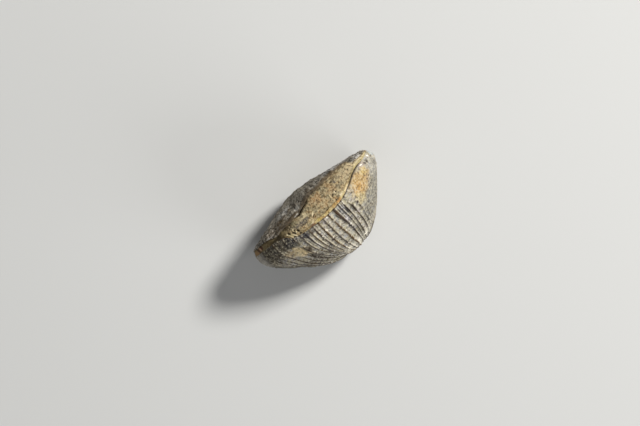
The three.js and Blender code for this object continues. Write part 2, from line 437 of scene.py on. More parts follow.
@dataclass(frozen=True)
class Ribs:
    """Radial ribs that are counted along the margin from the blunt end of the hinge.

    Attributes:
        height: Their height at the margin, before strength.
        strength: Their relative height by the place along the hinge.
        drift: How many ribs the grooves lie off an even spacing, by rib number.
        spread: How strongly the grooves swerve between the beak and the margin, by rib number.
        groove: Half the width of a groove as a share of a rib.
        stained: The numbers of the grooves that are stained all the way.
        bare: Where they are worn away.
        seed: Draws how each rib differs.
    """

    height: float
    strength: Profile
    drift: Profile
    spread: Profile
    groove: float
    stained: tuple[int, ...]
    bare: tuple[Swelling, ...]
    seed: int

    YOUNG = 0.25  # their height by the beak, as a share of their height at the margin
    GROOVE_SHARE = 0.6  # how much of the relief is cut into the smooth surface
    SMOOTH_AT_HINGE = 2.5  # how many ribs fade out beside the hinge
    UMBO_FADE = 0.22  # the growth over which they rise from the beak
    SPARE = 4  # numbers past the last rib, which the drift can reach
    WAVER = 0.07  # how far they stray, in ribs
    WAVER_GRAIN = 2.4
    DEPTHS = (0.7, 1.1)  # the least and the greatest depth of a groove
    CRESTS = (0.75, 1.15)  # and of a crest's roundness
    TALLEST = 1.15
    ROUNDING = 0.14
    LEVEL_CREST = 0.6
    LIGHT_STAIN = 0.6  # the strongest stain of a groove that isn't stained all the way
    SPLIT_SHARE = 0.35  # the share of the ribs that split before they reach the margin
    SPLIT_GROWTHS = (0.55, 0.85)  # where they split
    UNSPLIT = 2.0  # a growth that is never reached
    SPLIT_OVER = 0.12  # the growth over which a split opens
    SPLIT_DEPTH = 0.45
    SPLIT_WIDTH = 0.6  # as a share of a groove's

    def relief(
        self, share: Array, growth: Array, place: Array, noise: StoneNoise
    ) -> tuple[Array, Array, Array]:
        """The ribs' relief.

        Args:
            share: The place along the margin, from 0 to 1.
            growth: The place from the beak, 0, to the margin, 1.
            place: The points on the smooth surface.
            noise: Makes the ribs waver.

        Returns:
            How far the surface stands off, a value that is 0 in a groove and 1 on a crest and where there
            are no ribs, and how stained the nearest groove is.
        """
        even = share * RIB_COUNT
        number = even + self.drift(even) + self.spread(even) * growth * (1.0 - growth)
        number = number + self.WAVER * noise.layered(place, self.WAVER_GRAIN, 2)
        draw = np.random.default_rng(self.seed)
        count = RIB_COUNT + self.SPARE
        depths = draw.uniform(*self.DEPTHS, count)
        crests = draw.uniform(*self.CRESTS, count)
        split = draw.random(count) < self.SPLIT_SHARE
        splits = np.where(split, draw.uniform(*self.SPLIT_GROWTHS, count), self.UNSPLIT)
        stains = draw.uniform(0.0, self.LIGHT_STAIN, count)
        stains[list(self.stained)] = 1.0
        groove = np.clip(np.round(number), 0, count - 1).astype(int)
        rib = np.clip(np.floor(number), 0, count - 1).astype(int)
        beside = np.abs(number - np.round(number))
        width = self.groove * (0.7 + 0.3 * depths[groove])
        crest = 1.0 - depths[groove] * np.exp(-((beside / width) ** 2))
        crest += self.ROUNDING * (crests[rib] * np.sin(np.pi * beside) - self.LEVEL_CREST)
        middle = np.abs(number - rib - 0.5)
        parted = smooth_step(0.0, self.SPLIT_OVER, growth - splits[rib])
        crest -= self.SPLIT_DEPTH * parted * np.exp(-((middle / (self.SPLIT_WIDTH * self.groove)) ** 2))
        crest = np.clip(crest, 0.0, self.TALLEST)
        strength = self.strength(place[..., 0])
        for worn in self.bare:
            strength = strength * (1.0 - worn.at(place))
        tall = self.height * strength * (self.YOUNG + (1.0 - self.YOUNG) * growth)
        grown = smooth_step(0.0, self.UMBO_FADE, growth)
        seen = 1.0 - np.clip(1.25 * strength, 0.0, 1.0) * (1.0 - crest)
        return tall * (crest - self.GROOVE_SHARE) * grown, seen, stains[groove]


@dataclass(frozen=True)
class GrowthLines:
    """Steps and fine lines where the shell paused as it grew, all the way round at one growth.

    Attributes:
        steps: Each pause's growth and how far the shell steps down there, in millimetres.
        width: How wide a step is, as a share of the growth.
        fine: The height of the fine lines, by the place along the hinge.
        spacing: How far apart the fine lines are, as a share of the growth.
    """

    steps: tuple[tuple[float, float], ...]
    width: float
    fine: Profile
    spacing: float

    WAVER = 0.006
    BRIM = 6.0  # how far the swelling to both sides of a step reaches, in widths

    def relief(self, growth: Array, place: Array, noise: StoneNoise) -> Array:
        """The relief of the growth lines.

        Args:
            growth: The place from the beak, 0, to the margin, 1.
            place: The points on the smooth surface.
            noise: Makes the lines waver and come and go.

        Returns:
            How far the surface stands off.
        """
        wavering = growth + self.WAVER * noise.layered(place, 3.0, 2)
        reach = self.BRIM * self.width
        total = np.zeros(growth.shape)
        for pause, depth in self.steps:
            brim = smooth_step(pause - reach, pause, wavering)
            drop = smooth_step(pause, pause + self.width, wavering)
            level = smooth_step(pause + self.width, pause + reach, wavering)
            total += depth * (brim - 2.0 * drop + level)
        uneven = 0.5 + noise.layered(place + 25.0, 1.6, 2)
        ripple = np.sin(2.0 * np.pi * (wavering + self.WAVER * noise.at(place + 50.0, 1.2)) / self.spacing)
        return total + self.fine(place[..., 0]) * uneven * ripple


@dataclass(frozen=True)
class Wear:
    """How a surface has weathered.

    Attributes:
        lumps: Height of the unevenness of a few millimetres.
        grit: Height of the unevenness of tenths of a millimetre.
        pits: Depth of the pits.
        pit_size: Spacing of the pits.
        pit_share: Share of places that have no pit.
        rubbed: How much of the ribs is worn off in patches.
    """

    lumps: float
    grit: float
    pits: float
    pit_size: float
    pit_share: float
    rubbed: float

    LUMP_GRAIN = 2.6
    GRIT_GRAIN = 0.55
    RUBBED_GRAIN = 3.2
    PIT_RIM = (0.1, 0.45)  # where a pit's side begins and ends, in cells from its middle

    def relief(self, place: Array, noise: StoneNoise) -> Array:
        """The relief of the worn surface.

        Args:
            place: The points on the smooth surface.
            noise: Places the lumps, the grit and the pits.

        Returns:
            How far the surface stands off.
        """
        distance, kind = noise.cells(place, self.pit_size)
        pits = smooth_step(self.pit_share, 1.0, kind) * (1.0 - smooth_step(*self.PIT_RIM, distance))
        lumps = self.lumps * noise.layered(place, self.LUMP_GRAIN, 2)
        return lumps + self.grit * noise.layered(place + 40.0, self.GRIT_GRAIN, 2) - self.pits * pits

    def left(self, place: Array, noise: StoneNoise) -> Array:
        """Returns the share of the ribs' relief that is left."""
        return 1.0 - self.rubbed * smooth_step(-0.1, 0.5, noise.layered(place + 90.0, self.RUBBED_GRAIN, 3))


@dataclass(frozen=True)
class Valve:
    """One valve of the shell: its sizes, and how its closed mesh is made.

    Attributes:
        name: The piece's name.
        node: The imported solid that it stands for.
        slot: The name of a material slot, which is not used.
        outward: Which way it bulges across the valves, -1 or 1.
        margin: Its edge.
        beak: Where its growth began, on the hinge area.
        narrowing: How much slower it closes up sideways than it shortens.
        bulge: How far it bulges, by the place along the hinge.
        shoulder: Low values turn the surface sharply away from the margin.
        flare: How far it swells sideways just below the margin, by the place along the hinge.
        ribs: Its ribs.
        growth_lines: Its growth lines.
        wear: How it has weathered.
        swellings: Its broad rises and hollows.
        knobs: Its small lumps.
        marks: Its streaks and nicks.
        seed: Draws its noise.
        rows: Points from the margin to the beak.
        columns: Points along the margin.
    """

    name: str
    node: str
    slot: str
    outward: int
    margin: Margin
    beak: tuple[float, float, float]
    narrowing: float
    bulge: Profile
    shoulder: Profile
    flare: Profile
    ribs: Ribs
    growth_lines: GrowthLines
    wear: Wear
    swellings: tuple[Swelling, ...]
    knobs: tuple[Knob, ...]
    marks: tuple[Ridge, ...]
    seed: int
    rows: int
    columns: int

    BEAK_INDEX = 0
    HINGE_COLUMNS = 60
    INNER_ROWS = 4
    UMBO_BLUNTNESS = 6  # powers of the growth: the higher, the closer to the beak or the margin they act
    FLARE_REACH = 6
    FLARE_ROUNDING = 0.35
    EDGE_SHARPNESS = 40
    EDGE_RIB = 0.5  # the share of the ribs' relief that is left right at the margin
    EDGE_WEAR = 0.3  # and of the wear's
    RUBBED_GROOVE = 0.35  # how dark a groove stays where the ribs are rubbed off
    MARKS_ABOVE = (3.0, 9.0)  # the heights over which the marks come in
    HOLLOW_PASSES = 14
    HOLLOW_DEPTH = 0.12
    HINGE_LINES = 95.0  # radians of the pattern of lines between the hinge and the beak
    HINGE_LINE_HEIGHT = 0.07
    HINGE_FRAME = (0.06, 0.05)  # the plain rim of the hinge area, along the growth and across it
    # painted shade on the inner face from the margin down to the hinge, darkened like the nicks
    UNDERSIDE_SHADE = 0.4
    SHARP_ANGLE = 62.0

    def surface(self, share: Array, growth: Array) -> Array:
        """The smooth outer surface.

        Args:
            share: The place along the margin, from 0 to 1.
            growth: The place from the beak, 0, to the margin, 1.

        Returns:
            The points there, in millimetres.
        """
        edge = self.margin.at(share)
        left = 1.0 - growth
        sideways = growth * (1.0 + self.narrowing * left)
        standing = np.sin(0.5 * np.pi * np.minimum(edge[..., 2] / WIDEST_HEIGHT, 1.0))
        turning = np.maximum(0.0, 1.0 - growth**2)
        arch = turning ** self.shoulder(edge[..., 0]) * (1.0 - left**self.UMBO_BLUNTNESS)
        flare = self.flare(edge[..., 0]) * standing
        flaring = flare * turning**self.FLARE_ROUNDING * growth**self.FLARE_REACH
        x = self.beak[0] + (edge[..., 0] - self.beak[0]) * sideways + flaring
        bulging = self.outward * self.bulge(edge[..., 0]) * standing * arch
        y = edge[..., 1] + (self.beak[1] - edge[..., 1]) * left + bulging
        return np.stack([x, y, edge[..., 2] * growth], axis=-1)

    def outward_normals(self, share: Array, growth: Array) -> Array:
        """Measures which way the smooth surface faces.

        Args:
            share: The place along the margin.
            growth: The place from beak to margin.

        Returns:
            Its outward normals, of length 1.
        """
        along = self.surface(np.minimum(share + NORMAL_STEP, 1.0), growth)
        along = along - self.surface(np.maximum(share - NORMAL_STEP, 0.0), growth)
        outer = np.minimum(growth + NORMAL_STEP, 1.0)
        down = self.surface(share, outer - 2.0 * NORMAL_STEP) - self.surface(share, outer)
        normals = np.cross(along, down) * -self.outward
        return normals / np.maximum(np.linalg.norm(normals, axis=-1, keepdims=True), 1e-9)

    def relief(self, share: Array, growth: Array, place: Array) -> tuple[Array, dict[str, Array]]:
        """The relief of the outer surface.

        Args:
            share: The place along the margin.
            growth: The place from beak to margin.
            place: The points on the smooth surface.

        Returns:
            How far the surface stands off in millimetres, and the values that its colours use.
        """
        noise = StoneNoise(self.seed)
        ribs, crest, stain = self.ribs.relief(share, growth, place, noise)
        left = self.wear.left(place, noise)
        ribs = ribs * left
        lines = self.growth_lines.relief(growth, place, noise)
        worn = self.wear.relief(place, noise)
        swell = sum(swelling.at(place) for swelling in self.swellings)
        inside = 1.0 - growth**self.EDGE_SHARPNESS
        fade = smooth_step(0.0, self.ribs.SMOOTH_AT_HINGE, np.minimum(share, 1.0 - share) * RIB_COUNT)
        grown = smooth_step(0.0, self.ribs.UMBO_FADE, growth)
        ribs = ribs * (self.EDGE_RIB + (1.0 - self.EDGE_RIB) * inside)
        upper = smooth_step(*self.MARKS_ABOVE, place[..., 2])
        raised, nicked = np.zeros(growth.shape), np.zeros(growth.shape)
        for mark in self.marks:
            cover = mark.cover(place) * upper
            ribs = ribs + mark.height * cover
            shown = nicked if mark.height < 0.0 else raised
            np.maximum(shown, cover, out=shown)
        for knob in self.knobs:
            cover = knob.cover(place)
            ribs = ribs + knob.height * cover
            np.maximum(raised, cover, out=raised)
        worn = worn * (self.EDGE_WEAR + (1.0 - self.EDGE_WEAR) * inside)
        height = (ribs + (swell * grown + lines) * inside + worn) * fade
        values = {
            "crest": 1.0 - (1.0 - crest) * (self.RUBBED_GROOVE + (1.0 - self.RUBBED_GROOVE) * left),
            "stain": stain,
            "raised": raised,
            "nicked": nicked,
            "growth": growth,
            "hollow": hollows(height, self.HOLLOW_PASSES, self.HOLLOW_DEPTH),
        }
        return height, values

    def hinge_area(self, piece: Piece, rim: Array, hinge: Array) -> None:
        """Closes the flat area between beak and hinge, with faint lines of growth cut into it.

        Args:
            piece: The mesh.
            rim: The indices of the outer surface's points, from margin to beak and along the margin.
            hinge: The indices of the points along the hinge.
        """
        points = np.concatenate(piece.points)
        left, right = points[rim[:, 0]], points[rim[:, -1]]
        across = np.linspace(0.0, 1.0, self.HINGE_COLUMNS + 1)
        inner = left[1:, None] + (right - left)[1:, None] * across[None, 1:-1, None]
        growth = np.linspace(1.0, 0.0, self.rows + 1)[1:-1, None]
        waver = 2.0 * StoneNoise(self.seed + 5).at(inner, 4.0)
        lines = 0.5 + 0.5 * np.sin(growth * self.HINGE_LINES + waver)
        rim_along, rim_across = self.HINGE_FRAME
        free = smooth_step(0.0, rim_along, growth) * smooth_step(0.0, rim_along, 1.0 - growth)
        free = free * smooth_step(0.0, rim_across, np.minimum(across, 1.0 - across))[None, 1:-1]
        inner[..., 2] = self.HINGE_LINE_HEIGHT * lines * free
        area = np.concatenate([rim[1:, :1], piece.add(inner, hollow=0.4 * lines), rim[1:, -1:]], axis=1)
        area = np.concatenate([hinge[None], area])
        piece.grid(area, turned=self.outward > 0)
        piece.fan(self.BEAK_INDEX, area[-1], turned=self.outward < 0)

    def build(self, material: bpy.types.Material) -> bpy.types.Object:
        """Makes the valve and hands it to the frame.

        Args:
            material: What it is dressed in.

        Returns:
            The finished piece.
        """
        share = np.broadcast_to(np.linspace(0.0, 1.0, self.columns + 1), (self.rows, self.columns + 1))
        growth = np.cos(0.5 * np.pi * np.arange(self.rows) / self.rows)[:, None] * np.ones_like(share)
        place = self.surface(share, growth)
        height, values = self.relief(share, growth, place)
        points = place + self.outward_normals(share, growth) * height[..., None]
        points[..., 2] = np.maximum(points[..., 2], 0.0)
        points[:, (0, -1), 2] = 0.0
        steps = np.linalg.norm(np.diff(place, axis=0, prepend=place[:1]), axis=-1)
        values["from_edge"] = np.cumsum(steps, axis=0)

        piece = Piece(self.name)
        piece.add(np.array([self.beak]))
        rim = piece.add(points, **values)
        facing_in = self.outward > 0
        piece.grid(rim, turned=facing_in)
        piece.fan(self.BEAK_INDEX, rim[-1], turned=not facing_in)

        start, end = points[0, 0], points[0, -1]
        steps = np.linspace(0.0, 1.0, self.HINGE_COLUMNS + 1)[1:-1, None]
        inner_hinge = piece.add(start + (end - start) * steps)
        hinge = np.concatenate([rim[0, :1], inner_hinge, rim[0, -1:]])
        along = np.linspace(0.0, 1.0, self.columns + 1)[1:-1, None]
        line = rim[0]
        for row in range(1, self.INNER_ROWS):
            depth = row / self.INNER_ROWS
            under = points[0, 1:-1] * (1.0 - depth) + (start + (end - start) * along) * depth
            lower = np.concatenate([rim[0, :1], piece.add(under, nicked=self.UNDERSIDE_SHADE), rim[0, -1:]])
            piece.grid(np.stack([line, lower]), turned=not facing_in)
            line = lower
        piece.hang(line, hinge, turned=facing_in)
        self.hinge_area(piece, rim, hinge)

        shell = piece.build(material, self.SHARP_ANGLE)
        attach(shell, "root")
        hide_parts(self.node)
        LOG.info("%s: %d points", self.name, piece.count)
        return shell


class Side(Enum):
    """The two edges of the sediment's open face."""

    RIBBED = "ribbed"
    SHALLOW = "shallow"


@dataclass(frozen=True)
class SedimentFill:
    """The sediment between the valves, with its open face along the gape.

    Attributes:
        near: The ribbed valve's margin.
        far: The line along the shallow valve that the sediment reaches up to.
        crown: How far the open face bulges between its edges.
        cement: How much cement lines the ribbed valve, by the place along the hinge.
        teeth: The streaks of cement that cross the seam.
        nicks: Small holes and dents.
        crack: How far the face has come away from the ribbed valve, by the place along the hinge.
        furrow: How deep it sinks along the shallow valve, by the place along the hinge.
        seed: Draws its noise.
        rows: Points across the open face.
        columns: Points along it.
    """

    near: Margin
    far: Margin
    crown: float
    cement: Profile
    teeth: tuple[Ridge, ...]
    nicks: tuple[Ridge, ...]
    crack: Profile
    furrow: Profile
    seed: int
    rows: int
    columns: int

    NAME = "sediment_lens"
    NODE = "sediment_fill"
    SLOT = "sediment"
    TUCK = 0.06  # how far its edges reach into the valves
    SET_BACK = 0.04  # how far its edge lies below the ribbed valve's
    END = 0.004  # the share of the margin that is left free at both ends
    FOOT = 0.05  # the height of its underside
    LOWEST = 0.02  # the least height of its open face
    WALL_ROWS = 4
    # painted shade on the walls, which lie against the valves and show in the crack
    WALL_SHADE = 0.5
    FULL_SPAN = 4.0  # the face bulges fully where it is this wide
    LUMPS = 0.16
    LUMP_GRAIN = 2.2
    CRUMB_SIZE = 0.42
    CRUMBS = 0.09
    HOLES = 0.16
    GRIT = 0.035
    GRIT_GRAIN = 0.3
    FURROW_WIDTH = 0.36
    SLOPE_WIDTH = 1.1
    SLOPE_SHARE = 0.12
    CEMENT_RISE = 0.1
    SMOOTH_EDGES = (0.35, 0.2)  # how wide the plainer strips along both edges are
    EDGE_RELIEF = 0.25
    HOLLOW_PASSES = 8
    HOLLOW_DEPTH = 0.07
    DEEPEST_FURROW = 0.6
    SHARP_ANGLE = 70.0

    def edge(self, side: Side, share: Array) -> Array:
        """Follows one edge of the open face, tucked just inside the valve beside it.

        Args:
            side: Which edge.
            share: The shares of the margin's length to stop at.

        Returns:
            The points there, in millimetres.
        """
        if side is Side.RIBBED:
            line = self.near.at(share)
            line[..., 1] += self.crack(line[..., 0]) - self.TUCK
            line[..., 2] -= self.SET_BACK
        else:
            line = self.far.at(share)
            line[..., 1] += self.TUCK
        return line

    def crumbling(self, points: Array, noise: StoneNoise) -> Array:
        """The relief of its lumps, crumbs, holes and grit.

        Args:
            points: The points on the smooth face.
            noise: Places them.

        Returns:
            How far the face stands off.
        """
        lumps = self.LUMPS * noise.layered(points, self.LUMP_GRAIN, 3)
        distance, kind = noise.cells(points, self.CRUMB_SIZE)
        crumbs = self.CRUMBS * (1.0 - smooth_step(0.15, 0.6, distance)) * smooth_step(-0.2, 0.9, kind)
        holes = self.HOLES * (1.0 - smooth_step(0.1, 0.5, distance)) * smooth_step(0.55, 0.95, -kind)
        return lumps + crumbs - holes + self.GRIT * noise.layered(points + 31.0, self.GRIT_GRAIN, 2)

    def sinking(self, points: Array, from_far: Array, noise: StoneNoise) -> Array:
        """The furrow along the shallow valve, and the gentle slope that leads down to it.

        Args:
            points: The points on the smooth face.
            from_far: How far they lie from the shallow valve.
            noise: Makes the furrow uneven.

        Returns:
            How far the face sinks.
        """
        depth = self.furrow(points[..., 0])
        furrow = depth * np.exp(-((from_far / self.FURROW_WIDTH) ** 2))
        slope = self.SLOPE_SHARE * depth * np.exp(-((from_far / self.SLOPE_WIDTH) ** 2))
        return (furrow + slope) * (0.85 + 0.5 * noise.layered(points + 7.0, 1.2, 2))

    def face(self, share: Array) -> tuple[Array, dict[str, Array]]:
        """The open face.

        Args:
            share: The shares of the margin's length that it is built at.

        Returns:
            Its points, from the ribbed valve's side to the shallow valve's, and the values that its colours
            use.
        """
        noise = StoneNoise(self.seed)
        near, far = self.edge(Side.RIBBED, share), self.edge(Side.SHALLOW, share)
        across = np.linspace(0.0, 1.0, self.rows)[:, None]
        points = near + (far - near) * across[..., None]
        span = np.linalg.norm(far - near, axis=-1)
        from_near, from_far = across * span, (1.0 - across) * span
        standing = smooth_step(0.0, WIDEST_HEIGHT, far[:, 2])
        openness = np.minimum(span / self.FULL_SPAN, 1.0)
        rough = self.crumbling(points, noise)
        sink = self.sinking(points, from_far, noise)

        present = self.cement(points[..., 0])
        width = (0.7 + 0.3 * noise.layered(near + 60.0, 1.4, 2)) * np.clip(present, 0.5, 1.0)
        cement = present * (1.0 - smooth_step(width - 0.25, width + 0.2, from_near))
        rise = self.CEMENT_RISE * cement * (0.6 + 0.8 * noise.layered(points + 11.0, 0.5, 2))
        covers = {}
        for name, marks in (("teeth", self.teeth), ("nicked", self.nicks)):
            covers[name] = np.zeros(cement.shape)
            for mark in marks:
                cover = mark.cover(points)
                covers[name] = np.maximum(covers[name], cover)
                rise += mark.height * cover

        near_strip, far_strip = self.SMOOTH_EDGES
        free = smooth_step(0.0, near_strip, from_near) * smooth_step(0.0, far_strip, from_far) * openness
        rough = rough * (self.EDGE_RELIEF + (1.0 - self.EDGE_RELIEF) * free)
        crown = self.crown * np.sin(np.pi * across) * openness
        height = (crown + rough + rise - sink) * standing
        points[..., 2] = np.maximum(points[..., 2] + height, self.LOWEST)
        values = {
            "from_far": from_far,
            "cement": cement,
            "sunken": np.clip(sink / self.DEEPEST_FURROW, 0.0, 1.0),
            "hollow": hollows(rough + rise, self.HOLLOW_PASSES, self.HOLLOW_DEPTH),
        }
        return points, values | covers

    def build(self, material: bpy.types.Material) -> bpy.types.Object:
        """Makes the sediment as one closed ring of points that runs from end to end of the hinge.

        Args:
            material: What it is dressed in.

        Returns:
            The finished piece.
        """
        share = np.linspace(self.END, 1.0 - self.END, self.columns + 1)
        points, values = self.face(share)
        piece = Piece(self.NAME)
        face = piece.add(points, **values)
        walls: dict[Side, Array] = {}
        for side, top in ((Side.RIBBED, points[0]), (Side.SHALLOW, points[-1])):
            start, end = self.edge(side, np.array([0.0, 1.0]))
            foot = start + (end - start) * share[:, None]
            foot[:, 2] = self.FOOT
            depth = np.linspace(0.0, 1.0, self.WALL_ROWS + 1)[1:, None, None]
            walls[side] = piece.add(top + (foot - top) * depth, hollow=self.WALL_SHADE)
        ring = np.concatenate([walls[Side.RIBBED][::-1], face, walls[Side.SHALLOW]])
        piece.grid(ring, turned=False)
        piece.grid(np.stack([ring[-1], ring[0]]), turned=False)
        placed = np.concatenate(piece.points)
        for column, turned in ((0, False), (self.columns, True)):
            loop = np.concatenate([ring[:, column], ring[:1, column]])
            middle = piece.add(placed[ring[:, column]].mean(axis=0)[None])[0]
            piece.fan(middle, loop, turned)

        fill = piece.build(material, self.SHARP_ANGLE)
        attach(fill, "root")
        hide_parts(self.NODE)
        LOG.info("%s: %d points", self.NAME, piece.count)
        return fill


Number = Union[float, "Value"]
Setting = Union[str, bool]
Colour = tuple[float, float, float]
Span = tuple[float, float]  # where a gradual change begins and ends

TINT_SHIFT = (31.0, 7.0, 3.0)  # a shift that makes the tints' noise differ from the blotches'
DOT_SHIFT = (5.0, 5.0, 5.0)  # and the pale flecks from the dark dots


def paint(red: int, green: int, blue: int) -> Colour:
    """Returns a colour given in everyday 0 to 255 steps as the light it reflects."""

    def light(step: int) -> float:
        """Returns one channel."""
        share = step / 255.0
        return share / 12.92 if share <= 0.04045 else ((share + 0.055) / 1.055) ** 2.4

    return light(red), light(green), light(blue)


class Value:
    """A number, colour or vector on a shader graph that takes part in Python arithmetic."""

    def __init__(self, graph: "Graph", socket: bpy.types.NodeSocket) -> None:
        """Wraps a socket."""
        self.graph = graph
        self.socket = socket

    def __add__(self, other: Number) -> "Value":
        """Returns the sum."""
        return self.graph.maths("ADD", self, other)

    def __sub__(self, other: Number) -> "Value":
        """Returns the difference."""
        return self.graph.maths("SUBTRACT", self, other)

    def __rsub__(self, other: Number) -> "Value":
        """Returns the difference, the other way round."""
        return self.graph.maths("SUBTRACT", other, self)

    def __mul__(self, other: Number) -> "Value":
        """Returns the product."""
        return self.graph.maths("MULTIPLY", self, other)

    __radd__ = __add__
    __rmul__ = __mul__

    def clamped(self) -> "Value":
        """Returns the number kept between 0 and 1."""
        return self.graph.maths("ADD", self, 0.0, use_clamp=True)

    def step(self, low: float, high: float) -> "Value":
        """Returns 0 below low and 1 above high, with a smooth rise between them."""
        inputs = {0: self, 1: low, 2: high, 3: 0.0, 4: 1.0}
        return self.graph.node("ShaderNodeMapRange", {"interpolation_type": "SMOOTHSTEP"}, inputs)

    def between(self, start: Span, end: Span) -> "Value":
        """Returns 1 from the end of the first span to the start of the second, and 0 outside them."""
        return self.step(*start) * (1.0 - self.step(*end))


@dataclass(frozen=True)
class Patch:
    """A stain or a worn place with a ragged edge.

    Attributes:
        colour: Its colour.
        middle: Where it is, in the shell's own frame.
        reach: How far it reaches along each axis.
        turn: How far it is turned about the vertical, in degrees.
        strength: How much of what lies under it it hides.
        ragged: How uneven its edge is.
    """

    colour: Colour
    middle: tuple[float, float, float]
    reach: tuple[float, float, float]
    turn: float = 0.0
    strength: float = 0.8
    ragged: float = 0.5


class Graph:
    """The shader graph of one material."""

    PALE_CRUMBS = (0.39, 0.47)  # the noise below which crumbs are pale
    DARK_CRUMBS = (0.53, 0.61)  # and above which they are dark
    PATCH_EDGE = (0.55, 1.2)  # where a patch begins to fade and where it is gone, as shares of its reach
    PATCH_RAGGED = 4.0
    DOT_CORE = 0.4  # the share of a dot's reach that is covered all the way
    DRAW_SOFTNESS = 0.05
    SPECULAR = 0.3

    def __init__(self, name: str) -> None:
        """Starts a material with only its shader."""
        self.material = bpy.data.materials.new(name)
        self.material.use_nodes = True
        self.tree = self.material.node_tree
        self.shader = self.tree.nodes["Principled BSDF"]

    def node(
        self,
        kind: str,
        settings: Mapping[str, Setting] | None = None,
        inputs: Mapping[Union[int, str], Union[Number, Sequence[float]]] | None = None,
        output: Union[int, str] = 0,
    ) -> Value:
        """Adds a node.

        Args:
            kind: The node's type.
            settings: Its settings by name, which are set first.
            inputs: The value or the link of each socket that isn't left alone.
            output: Which of its results is used.

        Returns:
            That result.
        """
        node = self.tree.nodes.new(kind)
        for name, setting in (settings or {}).items():
            setattr(node, name, setting)
        for name, value in (inputs or {}).items():
            self.feed(node.inputs[name], value)
        return Value(self, node.outputs[output])

    def feed(self, socket: bpy.types.NodeSocket, value: Union[Number, Sequence[float]]) -> None:
        """Links a value to a socket, or sets a number or colour on it.

        Args:
            socket: The socket.
            value: What it gets.
        """
        if isinstance(value, Value):
            self.tree.links.new(value.socket, socket)
        elif isinstance(value, (int, float)):
            socket.default_value = value
        else:
            wide = socket.type == "RGBA" and len(value) == 3
            socket.default_value = (*value, 1.0) if wide else tuple(value)

    def maths(self, operation: str, *operands: Number, use_clamp: bool = False) -> Value:
        """Returns the result of a Math node."""
        settings = {"operation": operation, "use_clamp": use_clamp}
        return self.node("ShaderNodeMath", settings, dict(enumerate(operands)))

    def vectors(
        self, operation: str, a: Union[Value, Sequence[float]], b: Union[Value, Sequence[float]]
    ) -> Value:
        """Returns the vector result of a Vector Math node."""
        return self.node("ShaderNodeVectorMath", {"operation": operation}, {0: a, 1: b})

    def mix(self, share: Number, a: Union[Value, Colour], b: Union[Value, Colour]) -> Value:
        """Returns a colour that goes from a to b as the share goes from 0 to 1."""
        return self.node("ShaderNodeMix", {"data_type": "RGBA"}, {0: share, 6: a, 7: b}, output=2)

    def carried(self, name: str) -> Value:
        """Returns a value that the mesh carries on its points."""
        return self.node("ShaderNodeAttribute", {"attribute_name": name}, output="Fac")

    def place(self) -> Value:
        """Returns the place on the piece in millimetres, in the shell's own frame."""
        metres = self.node("ShaderNodeTexCoord", output="Object")
        scaled = self.vectors("MULTIPLY", metres, (1.0 / MM,) * 3)
        return self.vectors("SUBTRACT", scaled, tuple(HINGE_MIDDLE))

    def along(self, place: Value) -> Value:
        """Returns how far along the hinge a place is, in millimetres."""
        return self.node("ShaderNodeSeparateXYZ", inputs={0: place}, output="X")

    def noise(self, place: Value, grain: float, detail: float, roughness: float) -> Value:
        """Returns noise from about 0 to 1, with lumps of the given size in millimetres."""
        inputs = {"Vector": place, "Scale": 1.0 / grain, "Detail": detail, "Roughness": roughness}
        return self.node("ShaderNodeTexNoise", {"noise_dimensions": "3D"}, inputs)

    def dots(self, place: Value, size: float, reach: float, share: float) -> Value:
        """Returns 1 inside scattered dots.

        Args:
            place: The place on the piece.
            size: The cells that hold one dot each at most, in millimetres.
            reach: The size of a dot, in cells.
            share: The share of the cells that have a dot.

        Returns:
            The dots, with soft edges.
        """
        inputs = {"Vector": place, "Scale": 1.0 / size}
        distance = self.node("ShaderNodeTexVoronoi", {"feature": "F1"}, inputs, output="Distance")
        draw = self.along(self.node("ShaderNodeTexVoronoi", {"feature": "F1"}, inputs, output="Color"))
        drawn = 1.0 - draw.step(share - self.DRAW_SOFTNESS, share + self.DRAW_SOFTNESS)
        return (1.0 - distance.step(self.DOT_CORE * reach, reach)) * drawn

    def patch(self, place: Value, patch: Patch, edge_noise: Value) -> Value:
        """Lays out one patch.

        Args:
            place: The place on the piece.
            patch: The patch.
            edge_noise: Makes its edge uneven.

        Returns:
            Its strength inside, and 0 outside.
        """
        settings = {"vector_type": "TEXTURE"}
        inputs = {
            "Vector": place,
            "Location": patch.middle,
            "Rotation": (0.0, 0.0, math.radians(patch.turn)),
            "Scale": patch.reach,
        }
        local = self.node("ShaderNodeMapping", settings, inputs)
        distance = self.node("ShaderNodeVectorMath", {"operation": "LENGTH"}, {0: local}, output="Value")
        uneven = distance + (edge_noise - 0.5) * patch.ragged * self.PATCH_RAGGED
        return (1.0 - uneven.step(*self.PATCH_EDGE)) * patch.strength

    def patched(self, base: Value, place: Value, patches: Sequence[Patch], edge_noise: Value) -> Value:
        """Lays patches over a colour, in order.

        Args:
            base: The colour.
            place: The place on the piece.
            patches: The patches.
            edge_noise: Makes their edges uneven.

        Returns:
            The patched colour.
        """
        colour = base
        for patch in patches:
            colour = self.mix(self.patch(place, patch, edge_noise), colour, patch.colour)
        return colour

    def gritty(self, colour: Value, noise: Value, dark: Colour, pale: Colour, strength: Number) -> Value:
        """Returns a colour with dark crumbs where a noise is high and pale ones where it is low."""
        darker = self.mix(noise.step(*self.DARK_CRUMBS) * strength, colour, dark)
        return self.mix((1.0 - noise.step(*self.PALE_CRUMBS)) * strength, darker, pale)

    def finish(self, colour: Value, roughness: Number, height: Value, depth: float) -> bpy.types.Material:
        """Connects the shader.

        Args:
            colour: The base colour.
            roughness: The roughness.
            height: The fine relief, from about 0 to 1.
            depth: How deep that relief is, in millimetres.

        Returns:
            The finished material.
        """
        self.feed(self.shader.inputs["Base Color"], colour)
        self.feed(self.shader.inputs["Roughness"], roughness)
        relief = {"Height": height, "Distance": depth * MM, "Strength": 1.0}
        self.feed(self.shader.inputs["Normal"], self.node("ShaderNodeBump", inputs=relief))
        self.feed(self.shader.inputs["Specular IOR Level"], self.SPECULAR)
        return self.material


